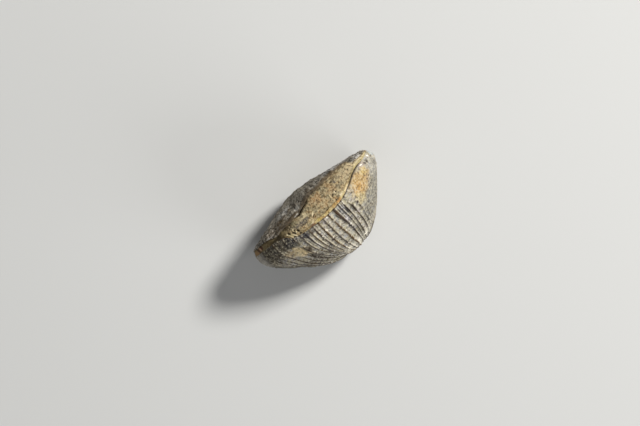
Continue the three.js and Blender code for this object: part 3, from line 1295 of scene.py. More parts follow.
@dataclass(frozen=True)
class RibbedShellFinish:
    """Worn shell with cream crests, and grooves that are slate or stained with ochre.

    Attributes:
        ribbed_from: Where the clearly ribbed stretch begins, from the blunt end on.
        quiet_from: Where the mottling grows weaker towards the pointed end.
        fleck_loss: Where the white flecks grow faint.
        seam_shadow_start: Where the painted shadow line under the seam begins.
        seam_shadow_end: Where it ends.
        seam_shadow_width: How wide it is, in millimetres from the margin.
        tip: Where the smooth blunt tip ends.
        tip_pale: Where the painted highlight on its end turns to the painted shade of the flank's grey.
        rim_edge: Where the smooth lower flank turns rougher, as a growth at the middle of the hinge.
        rim_slant: How much more growth that takes for each millimetre towards the blunt end.
        relief: How deep the finest relief is, in millimetres.
    """

    khaki: Colour = paint(106, 96, 74)
    cream: Colour = paint(193, 184, 160)
    pearl: Colour = paint(180, 178, 175)
    slate: Colour = paint(42, 42, 50)
    ochre: Colour = paint(88, 64, 34)
    umber: Colour = paint(52, 41, 28)
    white: Colour = paint(244, 236, 218)
    # painted light and shade of the smooth lower flank: first its dark grey, painted shade where the light
    # falls off, then a pale painted highlight for its blunt end
    flank: Colour = paint(66, 64, 62)
    blunt_end_highlight: Colour = paint(174, 168, 158)
    lilac: Colour = paint(150, 144, 164)
    olive: Colour = paint(140, 132, 84)
    ribbed_from: Span = (-9.5, -6.5)
    quiet_from: Span = (6.5, 8.5)
    fleck_loss: Span = (5.0, 7.0)
    seam_shadow_start: Span = (-7.0, -2.0)
    seam_shadow_end: Span = (12.0, 14.0)
    seam_shadow_width: Span = (0.12, 0.42)
    tip: Span = (-15.9, -15.0)
    tip_pale: Span = (-16.6, -15.0)
    rim_edge: Span = (-0.2, -0.08)
    rim_slant: float = 0.073
    relief: float = 0.14
    patches: tuple[Patch, ...] = (
        # the dark brown blunt end, painted shade that darkens it further, and painted blue-black shade
        # under the seam
        Patch(paint(46, 37, 18), (-12.8, -2.6, 15.0), (4.6, 3.0, 9.0), -12.0, 0.85, 0.5),
        Patch(paint(18, 14, 7), (-9.6, -3.0, 15.0), (1.5, 2.0, 9.0), 0.0, 0.88, 0.5),
        Patch(paint(26, 28, 40), (-6.6, -3.8, 18.5), (3.8, 1.2, 3.0), -8.0, 0.88, 0.6),
        # greys and pale crests among the ribs
        Patch(paint(62, 58, 50), (-6.8, -9.4, 14.5), (1.2, 2.0, 5.0), 25.0, 0.6, 0.6),
        Patch(paint(104, 108, 124), (3.6, -5.5, 18.0), (1.7, 1.3, 3.0), 0.0, 0.5, 0.8),
        Patch(paint(120, 126, 130), (1.6, -5.4, 18.5), (0.5, 1.2, 3.0), 0.0, 0.7, 0.5),
        Patch(paint(188, 184, 196), (3.2, -7.4, 17.0), (0.6, 0.8, 3.0), 0.0, 0.7, 0.5),
        Patch(paint(56, 54, 66), (2.8, -9.4, 14.5), (0.45, 1.3, 5.0), 0.0, 0.8, 0.5),
        Patch(paint(232, 228, 218), (-5.1, -7.8, 17.0), (0.4, 1.5, 4.0), 14.0, 0.8, 0.4),
        # the grey flank by the pointed end, and the orange-tan stain above it
        Patch(paint(100, 98, 90), (11.4, -6.6, 12.0), (5.5, 3.2, 9.0), 45.0, 0.75, 0.6),
        Patch(paint(160, 158, 150), (14.6, -2.2, 12.0), (1.6, 1.8, 8.0), 0.0, 0.6, 0.6),
        Patch(paint(172, 140, 86), (10.2, -3.2, 16.5), (3.6, 2.4, 6.0), 24.0, 0.9, 0.5),
        Patch(paint(188, 170, 120), (8.2, -5.9, 16.5), (1.3, 1.5, 5.0), 0.0, 0.7, 0.8),
        # the worn tan place by the blunt end, made paler than its own tan as a painted highlight on its lit
        # face
        Patch(paint(244, 218, 166), (-8.9, -6.3, 16.9), (2.5, 1.3, 4.0), -38.0, 0.85, 0.7),
        Patch(paint(132, 112, 80), (-10.9, -5.2, 16.9), (1.4, 0.9, 4.0), -20.0, 0.7, 0.8),
        # the stain again: its orange heart, its straw end and its pink corner
        Patch(paint(184, 140, 74), (9.1, -3.8, 16.5), (1.8, 1.4, 3.0), 20.0, 0.55, 0.8),
        Patch(paint(184, 160, 98), (12.3, -1.9, 15.5), (1.1, 1.1, 3.0), 10.0, 0.65, 0.8),
        Patch(paint(160, 138, 138), (13.0, -0.8, 15.5), (0.9, 0.5, 3.0), 0.0, 0.5, 0.6),
        # a slate hollow, the pale tip and the shade under it, and the brown below the worn place
        Patch(paint(60, 66, 72), (-3.3, -9.2, 14.0), (0.5, 1.1, 4.0), 0.0, 0.9, 0.3),
        Patch(paint(180, 192, 198), (16.0, -0.2, 9.5), (1.2, 0.8, 3.0), 0.0, 0.75, 0.6),
        Patch(paint(92, 90, 86), (15.7, -2.0, 9.5), (0.9, 0.9, 6.0), 0.0, 0.7, 0.6),
        Patch(paint(34, 20, 2), (-7.3, -6.8, 16.0), (0.6, 1.5, 4.0), 35.0, 1.0, 0.3),
        # painted highlights on the knobs low on the flank and along the lower edge, where the rib ends
        # catch the light, and the grey to both sides of them
        Patch(paint(250, 240, 216), (-1.0, -13.2, 8.4), (0.8, 0.5, 2.5), 0.0, 0.9, 0.3),
        Patch(paint(238, 232, 216), (1.6, -12.7, 9.0), (5.2, 1.0, 3.5), 0.0, 0.75, 0.8),
        Patch(paint(84, 80, 74), (-8.6, -9.9, 11.0), (4.0, 0.9, 7.0), -33.0, 0.7, 0.8),
        Patch(paint(250, 244, 226), (-0.3, -12.4, 9.8), (1.3, 0.6, 2.5), 0.0, 0.8, 0.6),
        Patch(paint(84, 82, 78), (7.2, -9.3, 12.0), (2.0, 1.3, 6.0), 40.0, 0.6, 0.8),
        # dark spots below the seam
        Patch(paint(36, 38, 54), (4.4, -6.1, 17.5), (0.3, 0.9, 3.0), 0.0, 0.85, 0.4),
        Patch(paint(40, 38, 46), (6.0, -6.5, 17.0), (0.35, 0.8, 3.0), 0.0, 0.9, 0.4),
        Patch(paint(58, 42, 64), (7.25, -6.2, 16.5), (0.3, 0.4, 3.0), 0.0, 0.9, 0.4),
    )

    def build(self) -> bpy.types.Material:
        """Mixes the finish.

        Returns:
            The material.
        """
        graph = Graph("ribbed_shell")
        place = graph.place()
        along = graph.along(place)
        crest, hollow, stain = graph.carried("crest"), graph.carried("hollow"), graph.carried("stain")
        blotches = graph.noise(place, 2.2, 4.0, 0.6)
        tints = graph.noise(graph.vectors("ADD", place, TINT_SHIFT), 1.3, 3.0, 0.6)
        mottle = graph.noise(place, 0.9, 4.0, 0.7)
        ragged = (blotches + mottle) * 0.5
        crumbs = graph.noise(place, 0.5, 2.0, 0.5)
        grain = graph.noise(place, 0.2, 3.0, 0.6)
        ribbed, quiet = along.step(*self.ribbed_from), along.step(*self.quiet_from)

        worn = graph.mix(tints.step(0.44, 0.6), self.cream, self.pearl)
        worn = graph.mix((1.0 - tints.step(0.36, 0.46)) * 0.5, worn, self.lilac)
        worn = graph.mix(blotches.step(0.52, 0.62) * 0.4, worn, self.olive)
        colour = graph.mix(((mottle - 0.5) * 3.0 + crest * 1.1 - 0.2).clamped(), self.khaki, worn)
        colour = graph.patched(colour, place, self.patches, ragged)
        rim = 1.0 - (graph.carried("growth") + along * self.rim_slant + blotches * 0.1).step(*self.rim_edge)
        smooth = graph.maths("MAXIMUM", rim, 1.0 - along.step(*self.tip))
        # painted highlight on the blunt end, and painted shade in dark grey over the smooth lower flank
        rim_light_and_shade = graph.mix(along.step(*self.tip_pale), self.blunt_end_highlight, self.flank)
        colour = graph.mix(smooth * 0.8, colour, rim_light_and_shade)
        rough = (ribbed * 0.1 + 0.45 - quiet * 0.15) * (1.0 - smooth * 0.7)
        colour = graph.gritty(colour, mottle, self.umber, self.cream, rough)
        colour = graph.gritty(colour, crumbs, self.umber, self.cream, rough * 0.9)

        stained = (stain * 0.9 + (blotches - 0.5) * 2.2 + (mottle - 0.5) * 0.8).clamped()
        groove = graph.mix(stained, self.slate, self.ochre)
        broken = 1.0 + (blotches - 0.5) * 2.0 + (mottle - 0.5) * 3.0
        sunken = (1.0 - crest.step(0.15, 0.66)) * broken * (1.0 - smooth * 0.6)
        colour = graph.mix(sunken.clamped(), colour, groove)
        # painted shade in the hollows, and a painted highlight in cream on the bumps
        colour = graph.mix(hollow.step(0.15, 0.8) * 0.6, colour, self.umber)
        colour = graph.mix((hollow * -1.0).step(0.25, 0.9) * (ribbed * 0.35 + 0.1), colour, self.cream)
        colour = graph.mix(graph.dots(place, 0.75, 0.38, 0.35) * (ribbed * 0.4 + 0.4), colour, self.umber)
        flecks = graph.dots(graph.vectors("ADD", place, DOT_SHIFT), 0.8, 0.4, 0.35)
        flecked = ribbed - along.step(*self.fleck_loss) * 0.7
        colour = graph.mix(flecks * flecked * 0.55, colour, self.white)
        # painted shadow: a thin umber line along the margin under the seam
        seam_shadow = 1.0 - graph.carried("from_edge").step(*self.seam_shadow_width)
        colour = graph.mix(seam_shadow * along.between(self.seam_shadow_start, self.seam_shadow_end) * 0.8, colour, self.umber)
        # white where knobs and streaks stand proud: painted highlights where they catch the light, and pale
        # worn spots
        colour = graph.mix(graph.carried("raised").step(0.1, 0.7) * 0.95, colour, self.white)
        colour = graph.mix(graph.carried("nicked") * 0.85, colour, self.umber)
        colour = graph.mix(grain.step(0.52, 0.7) * 0.3, colour, self.slate)
        return graph.finish(colour, 0.72 + grain * 0.2, grain * 0.7 + mottle * 0.5, self.relief)


@dataclass(frozen=True)
class WornShellFinish:
    """Rough grey shell, mottled light and dark, and brown along its inner edge.

    Attributes:
        margin_from: The growth at which the grit of the margin comes in.
        grittier_from: Where the grit gets stronger still, by the pointed end.
        warmer_from: Where the brown along the edge turns lighter.
        brown_start: Where that brown begins.
        brown_end: Where it ends.
        brown_width: How wide it is, in millimetres from the margin.
        marks_from: Where the raised marks grow paler.
        relief: How deep the finest relief is, in millimetres.
    """

    grey: Colour = paint(136, 127, 110)
    pale: Colour = paint(204, 197, 184)
    dark: Colour = paint(62, 56, 48)
    umber: Colour = paint(76, 62, 42)
    brown: Colour = paint(104, 86, 60)
    margin_from: Span = (0.64, 0.86)
    grittier_from: Span = (10.5, 11.5)
    warmer_from: Span = (1.5, 5.0)
    brown_start: Span = (-12.0, -8.0)
    brown_end: Span = (10.6, 11.6)
    brown_width: Span = (0.2, 1.7)
    marks_from: Span = (-9.0, -6.5)
    relief: float = 0.14
    patches: tuple[Patch, ...] = (
        # brown and dark grey towards the blunt end, and a pale stretch along the outline
        Patch(paint(104, 84, 46), (-9.4, 1.5, 17.0), (3.6, 1.4, 4.0), 8.0, 0.9, 0.6),
        Patch(paint(94, 90, 82), (-14.0, 1.2, 13.0), (1.6, 1.0, 8.0), 0.0, 0.6, 0.8),
        Patch(paint(98, 86, 70), (-11.2, 0.8, 16.0), (1.8, 1.3, 5.0), 0.0, 0.8, 0.6),
        Patch(paint(222, 220, 216), (-6.6, 3.0, 17.0), (3.2, 1.1, 4.5), 8.0, 0.85, 0.8),
        # a pale fleck on the inner edge, and the pale and dark corner by the pointed end, its pale part
        # painted light on a face that the lamps leave dark
        Patch(paint(138, 134, 132), (-11.6, 0.3, 17.0), (0.9, 0.4, 3.0), 0.0, 0.6, 0.8),
        Patch(paint(236, 232, 226), (13.5, 1.5, 13.0), (0.9, 0.9, 6.0), 0.0, 0.85, 0.6),
        Patch(paint(76, 76, 66), (12.2, 1.0, 15.0), (0.9, 0.7, 5.0), 0.0, 0.7, 0.6),
        # the white spur, and the grey outline of the pointed half, made paler as painted light on a face
        # that the lamps leave dark
        Patch(paint(250, 246, 238), (-3.4, 1.35, 17.5), (0.7, 0.4, 3.0), 8.0, 1.0, 0.3),
        Patch(paint(196, 197, 200), (9.5, 2.6, 15.0), (4.5, 0.6, 5.0), -6.0, 0.7, 0.8),
    )

    def build(self) -> bpy.types.Material:
        """Mixes the finish.

        Returns:
            The material.
        """
        graph = Graph("worn_shell")
        place = graph.place()
        along = graph.along(place)
        crest, hollow = graph.carried("crest"), graph.carried("hollow")
        blotches = graph.noise(place, 1.7, 4.0, 0.6)
        mottle = graph.noise(place, 0.9, 4.0, 0.7)
        crumbs = graph.noise(place, 0.5, 2.0, 0.5)
        grain = graph.noise(place, 0.2, 3.0, 0.6)
        colour = graph.mix(blotches.step(0.4, 0.6) * 0.4, self.grey, self.pale)
        colour = graph.patched(colour, place, self.patches, (blotches + mottle) * 0.5)
        young = 1.0 - graph.carried("growth").step(*self.margin_from)
        rough = along.step(*self.grittier_from) * 0.2 + 0.75 - young * 0.5
        colour = graph.gritty(colour, mottle, self.dark, self.pale, rough)
        colour = graph.gritty(colour, crumbs, self.dark, self.pale, rough)
        colour = graph.mix((1.0 - crest.step(0.1, 0.6)) * (young * 0.35 + 0.25), colour, self.dark)

        uneven = graph.carried("from_edge") + (blotches - 0.5) * 2.4 + (mottle - 0.5) * 1.2
        edge_brown = graph.mix(along.step(*self.warmer_from), self.umber, self.brown)
        held = along.between(self.brown_start, self.brown_end)
        colour = graph.mix((1.0 - uneven.step(*self.brown_width)) * held * 0.85, colour, edge_brown)
        colour = graph.gritty(colour, crumbs, self.dark, self.brown, rough * 0.6)
        # painted shade in the hollows, and a painted highlight on the bumps
        colour = graph.mix(hollow.step(0.1, 0.8) * 0.6, colour, self.dark)
        colour = graph.mix((hollow * -1.0).step(0.3, 0.9) * 0.4, colour, self.pale)
        colour = graph.mix(graph.dots(place, 0.75, 0.38, 0.35) * 0.7, colour, self.umber)
        raised = graph.carried("raised") * (0.45 + along.step(*self.marks_from) * 0.5)
        colour = graph.mix(raised, colour, self.pale)
        colour = graph.mix(graph.carried("nicked") * 0.85, colour, self.umber)
        colour = graph.mix(grain.step(0.5, 0.7) * 0.3, colour, self.dark)
        return graph.finish(colour, 0.78 + grain * 0.15, grain * 0.7 + mottle * 0.6, self.relief)


@dataclass(frozen=True)
class SedimentFinish:
    """Sandy tan filling with an ochre seam, painted shade in its furrow, and brown at its blunt end.

    Attributes:
        patches: The stains of the open face.
        blunt_patches: The stripes and stains of its blunt end.
        seam_patches: The stains of the seam of cement.
        blunt_until: Where the brown blunt end turns to sand.
        shaded_from: Where the shade along the shallow valve comes in.
        shade_width: How wide that shade is, in millimetres.
        straw_from: Where the seam is straw all the way.
        roughness: How dull it is.
        relief: How deep the finest relief is, in millimetres.
    """

    tan: Colour = paint(127, 112, 79)
    sand: Colour = paint(195, 177, 140)
    brown: Colour = paint(84, 70, 46)
    ochre: Colour = paint(181, 146, 90)
    straw: Colour = paint(203, 185, 133)
    cream: Colour = paint(232, 216, 180)
    umber: Colour = paint(34, 27, 16)
    rust: Colour = paint(184, 134, 76)
    ash: Colour = paint(132, 132, 118)
    patches: tuple[Patch, ...] = (
        # the rusty middle
        Patch(paint(136, 104, 66), (0.7, 0.5, 19.5), (1.6, 0.8, 3.0), 6.0, 0.65, 0.8),
        Patch(paint(174, 138, 98), (5.0, -0.6, 19.5), (1.3, 1.0, 3.0), 0.0, 0.45, 0.8),
        # cream, greenish and blue-grey sand towards the blunt end, and the dark behind the teeth
        Patch(paint(240, 222, 180), (-3.8, -0.75, 19.5), (1.7, 0.65, 3.0), 0.0, 0.9, 0.7),
        Patch(paint(122, 124, 100), (-6.4, -0.8, 19.5), (1.7, 0.8, 3.0), 0.0, 0.65, 0.8),
        Patch(paint(78, 80, 88), (-4.8, -1.7, 19.5), (2.2, 0.7, 3.0), -4.0, 0.75, 0.7),
        Patch(paint(50, 40, 28), (-7.9, -0.4, 19.0), (1.6, 0.8, 3.0), -10.0, 0.95, 0.5),
        # the middle again, a dark pit, and pale sand towards the pointed end
        Patch(paint(196, 152, 104), (1.0, 0.0, 19.5), (1.6, 1.2, 3.0), 0.0, 0.4, 1.0),
        Patch(paint(78, 76, 80), (6.4, 0.3, 19.5), (0.4, 0.4, 3.0), 0.0, 0.85, 0.6),
        Patch(paint(120, 108, 88), (6.6, 1.0, 19.0), (0.9, 0.7, 3.0), 0.0, 0.5, 0.8),
        Patch(paint(196, 180, 148), (9.8, 0.3, 18.0), (3.0, 1.3, 5.0), 10.0, 0.55, 0.8),
    )
    blunt_patches: tuple[Patch, ...] = (
        Patch(paint(156, 122, 82), (-16.3, -0.2, 10.0), (0.7, 0.7, 8.0), 0.0, 0.8, 0.8),
        Patch(paint(130, 98, 70), (-15.0, 0.0, 12.0), (1.0, 0.5, 6.0), 0.0, 0.7, 0.8),
        Patch(paint(72, 44, 26), (-15.6, 0.1, 12.0), (0.2, 0.7, 6.0), 8.0, 0.9, 0.3),
        Patch(paint(198, 164, 130), (-15.15, 0.1, 12.0), (0.18, 0.6, 6.0), 8.0, 0.9, 0.3),
        Patch(paint(84, 44, 28), (-14.65, 0.0, 12.0), (0.3, 0.6, 6.0), 0.0, 0.85, 0.4),
        Patch(paint(44, 34, 12), (-10.7, -0.9, 16.0), (2.4, 0.7, 6.0), -8.0, 0.95, 0.5),
        Patch(paint(74, 60, 30), (-12.6, -0.3, 15.0), (1.2, 0.6, 6.0), 0.0, 0.6, 0.6),
    )
    seam_patches: tuple[Patch, ...] = (
        Patch(paint(130, 104, 64), (-5.6, -2.9, 19.8), (1.6, 0.8, 2.0), 0.0, 0.8, 0.6),
        Patch(paint(112, 66, 46), (-3.2, -3.65, 19.8), (0.8, 0.5, 2.0), 0.0, 0.9, 0.4),
        Patch(paint(196, 170, 88), (-1.3, -3.6, 19.8), (0.6, 0.5, 2.0), 0.0, 0.7, 0.5),
        Patch(paint(196, 132, 62), (4.4, -3.2, 19.8), (0.8, 0.5, 2.0), 20.0, 0.8, 0.5),
        Patch(paint(232, 212, 172), (7.6, -2.5, 19.0), (1.4, 0.5, 2.0), 25.0, 0.8, 0.5),
    )
    blunt_until: Span = (-9.2, -7.2)
    shaded_from: Span = (-6.0, -2.0)
    shade_width: Span = (0.0, 0.9)
    straw_from: Span = (9.0, 11.0)
    roughness: float = 0.85
    relief: float = 0.14

    def build(self) -> bpy.types.Material:
        """Mixes the finish.

        Returns:
            The material.
        """
        graph = Graph("sediment")
        place = graph.place()
        along = graph.along(place)
        cement, sunken, hollow = graph.carried("cement"), graph.carried("sunken"), graph.carried("hollow")
        blotches = graph.noise(place, 1.6, 4.0, 0.6)
        tints = graph.noise(graph.vectors("ADD", place, TINT_SHIFT), 1.1, 3.0, 0.6)
        mottle = graph.noise(place, 0.85, 4.0, 0.7)
        crumbs = graph.noise(place, 0.5, 2.0, 0.5)
        grain = graph.noise(place, 0.2, 2.0, 0.6)
        ragged = (blotches + mottle) * 0.5
        streaky = graph.noise(graph.vectors("MULTIPLY", place, (1.0, 0.3, 1.0)), 0.35, 2.0, 0.6)
        sandy = (mottle - 0.5) * 4.0 + (streaky - 0.5) * 2.0 + 0.5
        colour = graph.mix(sandy.clamped(), self.tan, self.sand)
        colour = graph.mix(blotches.step(0.5, 0.64) * 0.3, colour, self.brown)
        colour = graph.mix(tints.step(0.5, 0.62) * 0.35, colour, self.rust)
        colour = graph.mix((1.0 - tints.step(0.38, 0.48)) * 0.35, colour, self.ash)
        colour = graph.patched(colour, place, self.patches, ragged)
        colour = graph.gritty(colour, mottle, self.brown, self.sand, 0.45)
        shade = 1.0 - (graph.carried("from_far") + (blotches - 0.5) * 3.0).step(*self.shade_width)
        colour = graph.mix(shade * along.step(*self.shaded_from) * 0.7, colour, self.brown)
        blunt = 1.0 - (along + (blotches - 0.5) * 3.0).step(*self.blunt_until)
        brown_end = graph.mix(blotches.step(0.36, 0.56), self.brown, self.tan)
        colour = graph.gritty(colour, crumbs, self.brown, self.sand, 0.65)
        colour = graph.mix(blunt, colour, graph.patched(brown_end, place, self.blunt_patches, ragged))

        pale_seam = (tints.step(0.42, 0.6) + along.step(*self.straw_from)).clamped()
        seam = graph.mix(pale_seam, self.ochre, self.straw)
        seam = graph.patched(seam, place, self.seam_patches, ragged)
        above = cement * (1.0 - cement) * 4.0 * mottle.step(0.4, 0.54)
        colour = graph.mix((cement * (0.9 + (mottle - 0.5) * 3.0)).clamped(), colour, seam)
        colour = graph.mix(above * 0.55, colour, self.brown)
        streaks = graph.mix(mottle.step(0.42, 0.56), self.straw, self.cream)
        colour = graph.mix(graph.carried("teeth") * 0.95, colour, streaks)
        # painted shade in the hollows, and a painted highlight in sand on the bumps
        colour = graph.mix(hollow.step(0.1, 0.8) * 0.7, colour, self.brown)
        colour = graph.mix((hollow * -1.0).step(0.2, 0.9) * (0.5 - blunt * 0.4), colour, self.sand)
        colour = graph.mix(graph.dots(place, 0.8, 0.36, 0.3) * 0.4, colour, self.umber)
        # painted shade: umber in the furrow along the shallow valve
        colour = graph.mix(sunken.step(0.25, 0.9) * 0.8, colour, self.umber)
        colour = graph.mix(graph.carried("nicked").step(0.15, 0.9) * 0.85, colour, self.umber)
        colour = graph.mix(grain.step(0.52, 0.7) * 0.35, colour, self.brown)
        return graph.finish(colour, self.roughness, grain * 0.8 + mottle * 0.6, self.relief)


@dataclass(frozen=True)
class Studio:
    """A plain pale floor, soft lights, and a camera that looks straight down on the open margin.

    Attributes:
        target: The point at the middle of the picture, in the row frame, in millimetres.
        right: Which way the picture's right-hand side points on the floor.
        distance: How far the camera is above that point, in metres.
        picture_width: The width seen at that point's height, in metres.
        sensor: The width of the camera's sensor, in millimetres.
        clipping: The nearest and the furthest distance that is seen, in metres.
        lamp_distance: How far the lamps are from the shell, in metres.
        surround: How bright the light from all round is.
        floor_half: Half the floor's width, in metres.
        floor_colour: The floor's colour.
        floor_roughness: How dull it is.
    """

    target: tuple[float, float, float] = (-0.34, 1.61, 11.0)
    right: tuple[float, float] = (0.7449, -0.6672)
    distance: float = 0.65
    picture_width: float = 0.1379
    sensor: float = 36.0
    clipping: tuple[float, float] = (0.05, 5.0)
    lamp_distance: float = 0.9
    surround: float = 0.1
    floor_half: float = 1.5
    floor_colour: Colour = (0.6, 0.6, 0.59)
    floor_roughness: float = 0.9

    def floor(self) -> None:
        """Lays the floor."""
        half = self.floor_half
        mesh = bpy.data.meshes.new("floor")
        corners = [(-half, -half, 0.0), (half, -half, 0.0), (half, half, 0.0), (-half, half, 0.0)]
        mesh.from_pydata(corners, [], [(0, 1, 2, 3)])
        graph = Graph("pale_floor")
        graph.feed(graph.shader.inputs["Base Color"], self.floor_colour)
        graph.feed(graph.shader.inputs["Roughness"], self.floor_roughness)
        mesh.materials.append(graph.material)
        floor = bpy.data.objects.new("floor", mesh)
        bpy.context.scene.collection.objects.link(floor)

    def lamp(
        self, name: str, azimuth: float, elevation: float, size: float, power: float, tint: Colour
    ) -> None:
        """Adds a soft round light that faces the shell.

        Args:
            name: Its name.
            azimuth: Its direction on the floor, in degrees from the row frame's X towards Y.
            elevation: Its height above the floor, in degrees.
            size: Its width in metres.
            power: Its power in watts.
            tint: Its colour.
        """
        light = bpy.data.lights.new(name, "AREA")
        light.shape = "DISK"
        light.size = size
        light.energy = power
        light.color = tint
        lamp = bpy.data.objects.new(name, light)
        a, e = math.radians(azimuth), math.radians(elevation)
        away = Vector((math.cos(a) * math.cos(e), math.sin(a) * math.cos(e), math.sin(e)))
        lamp.location = away * self.lamp_distance
        lamp.rotation_mode = "QUATERNION"
        lamp.rotation_quaternion = away.to_track_quat("Z", "Y")
        bpy.context.scene.collection.objects.link(lamp)

    def lights(self) -> None:
        """Adds the lights and the soft light from all round."""
        self.lamp("key", azimuth=0.0, elevation=42.0, size=0.22, power=10.0, tint=(1.0, 0.99, 0.96))
        self.lamp("fill", azimuth=200.0, elevation=55.0, size=0.9, power=1.3, tint=(0.96, 0.98, 1.0))
        self.lamp("low", azimuth=290.0, elevation=14.0, size=0.7, power=4.5, tint=(0.98, 0.99, 1.0))
        world = bpy.data.worlds.new("soft_surround")
        world.use_nodes = True
        background = world.node_tree.nodes["Background"]
        background.inputs["Color"].default_value = (1.0, 1.0, 1.0, 1.0)
        background.inputs["Strength"].default_value = self.surround
        bpy.context.scene.world = world
        bpy.context.scene.view_settings.view_transform = "Standard"

    def camera(self) -> None:
        """Adds the camera."""
        data = bpy.data.cameras.new("camera")
        data.sensor_width = self.sensor
        data.lens = self.sensor * self.distance / self.picture_width
        data.clip_start, data.clip_end = self.clipping
        camera = bpy.data.objects.new("camera", data)
        right = Vector((*self.right, 0.0)).normalized()
        up = Vector((0.0, 0.0, 1.0)).cross(right)
        turn = Matrix((right, up, (0.0, 0.0, 1.0))).transposed().to_4x4()
        place = Vector(self.target) * MM + Vector((0.0, 0.0, self.distance))
        camera.matrix_world = Matrix.Translation(place) @ turn
        bpy.context.scene.collection.objects.link(camera)
        bpy.context.scene.camera = camera

    def build(self) -> None:
        """Sets up the whole studio."""
        self.floor()
        self.lights()
        self.camera()


MARGIN_NOISE = StoneNoise(11)
RIBBED_MARGIN = Margin(
    half_widths=(17.05, 16.2),
    height=20.0,
    wave=Profile((
        (-17.0, -0.5), (-14.4, -0.75), (-12.4, -0.9), (-10.4, -1.35), (-9.4, -1.65), (-8.8, -2.25),
        (-8.3, -2.8), (-7.3, -3.15), (-5.3, -3.5), (-2.3, -3.8), (0.6, -3.95), (2.7, -3.85), (4.7, -3.5),
        (6.7, -2.85), (8.7, -2.0), (10.7, -0.95), (12.2, -0.45), (14.2, -0.1), (15.6, 0.45), (17.0, 0.8),
    )),
    wander=0.08,
    noise=MARGIN_NOISE,
)
SHALLOW_WAVE = Profile((
    (-17.0, 0.6), (-14.4, 0.6), (-12.4, 0.35), (-11.4, -0.05), (-10.4, -0.3), (-9.4, -0.15), (-7.4, 0.05),
    (-4.8, 0.15), (-4.1, 0.1), (-3.3, 0.45), (-2.3, 0.8), (-1.3, 1.15), (-0.3, 1.45), (1.7, 1.65),
    (4.7, 1.8), (7.7, 1.85), (9.9, 1.85), (11.1, 1.75), (11.5, 1.3), (12.0, 0.85), (13.7, 0.75),
    (15.7, 0.9), (17.0, 1.1),
))
SHALLOW_MARGIN = Margin(
    half_widths=(16.75, 15.9),
    height=18.6,
    wave=SHALLOW_WAVE,
    wander=0.16,
    noise=MARGIN_NOISE,
)
SEDIMENT_FAR = replace(SHALLOW_MARGIN, half_widths=(16.5, 15.9), height=18.35)

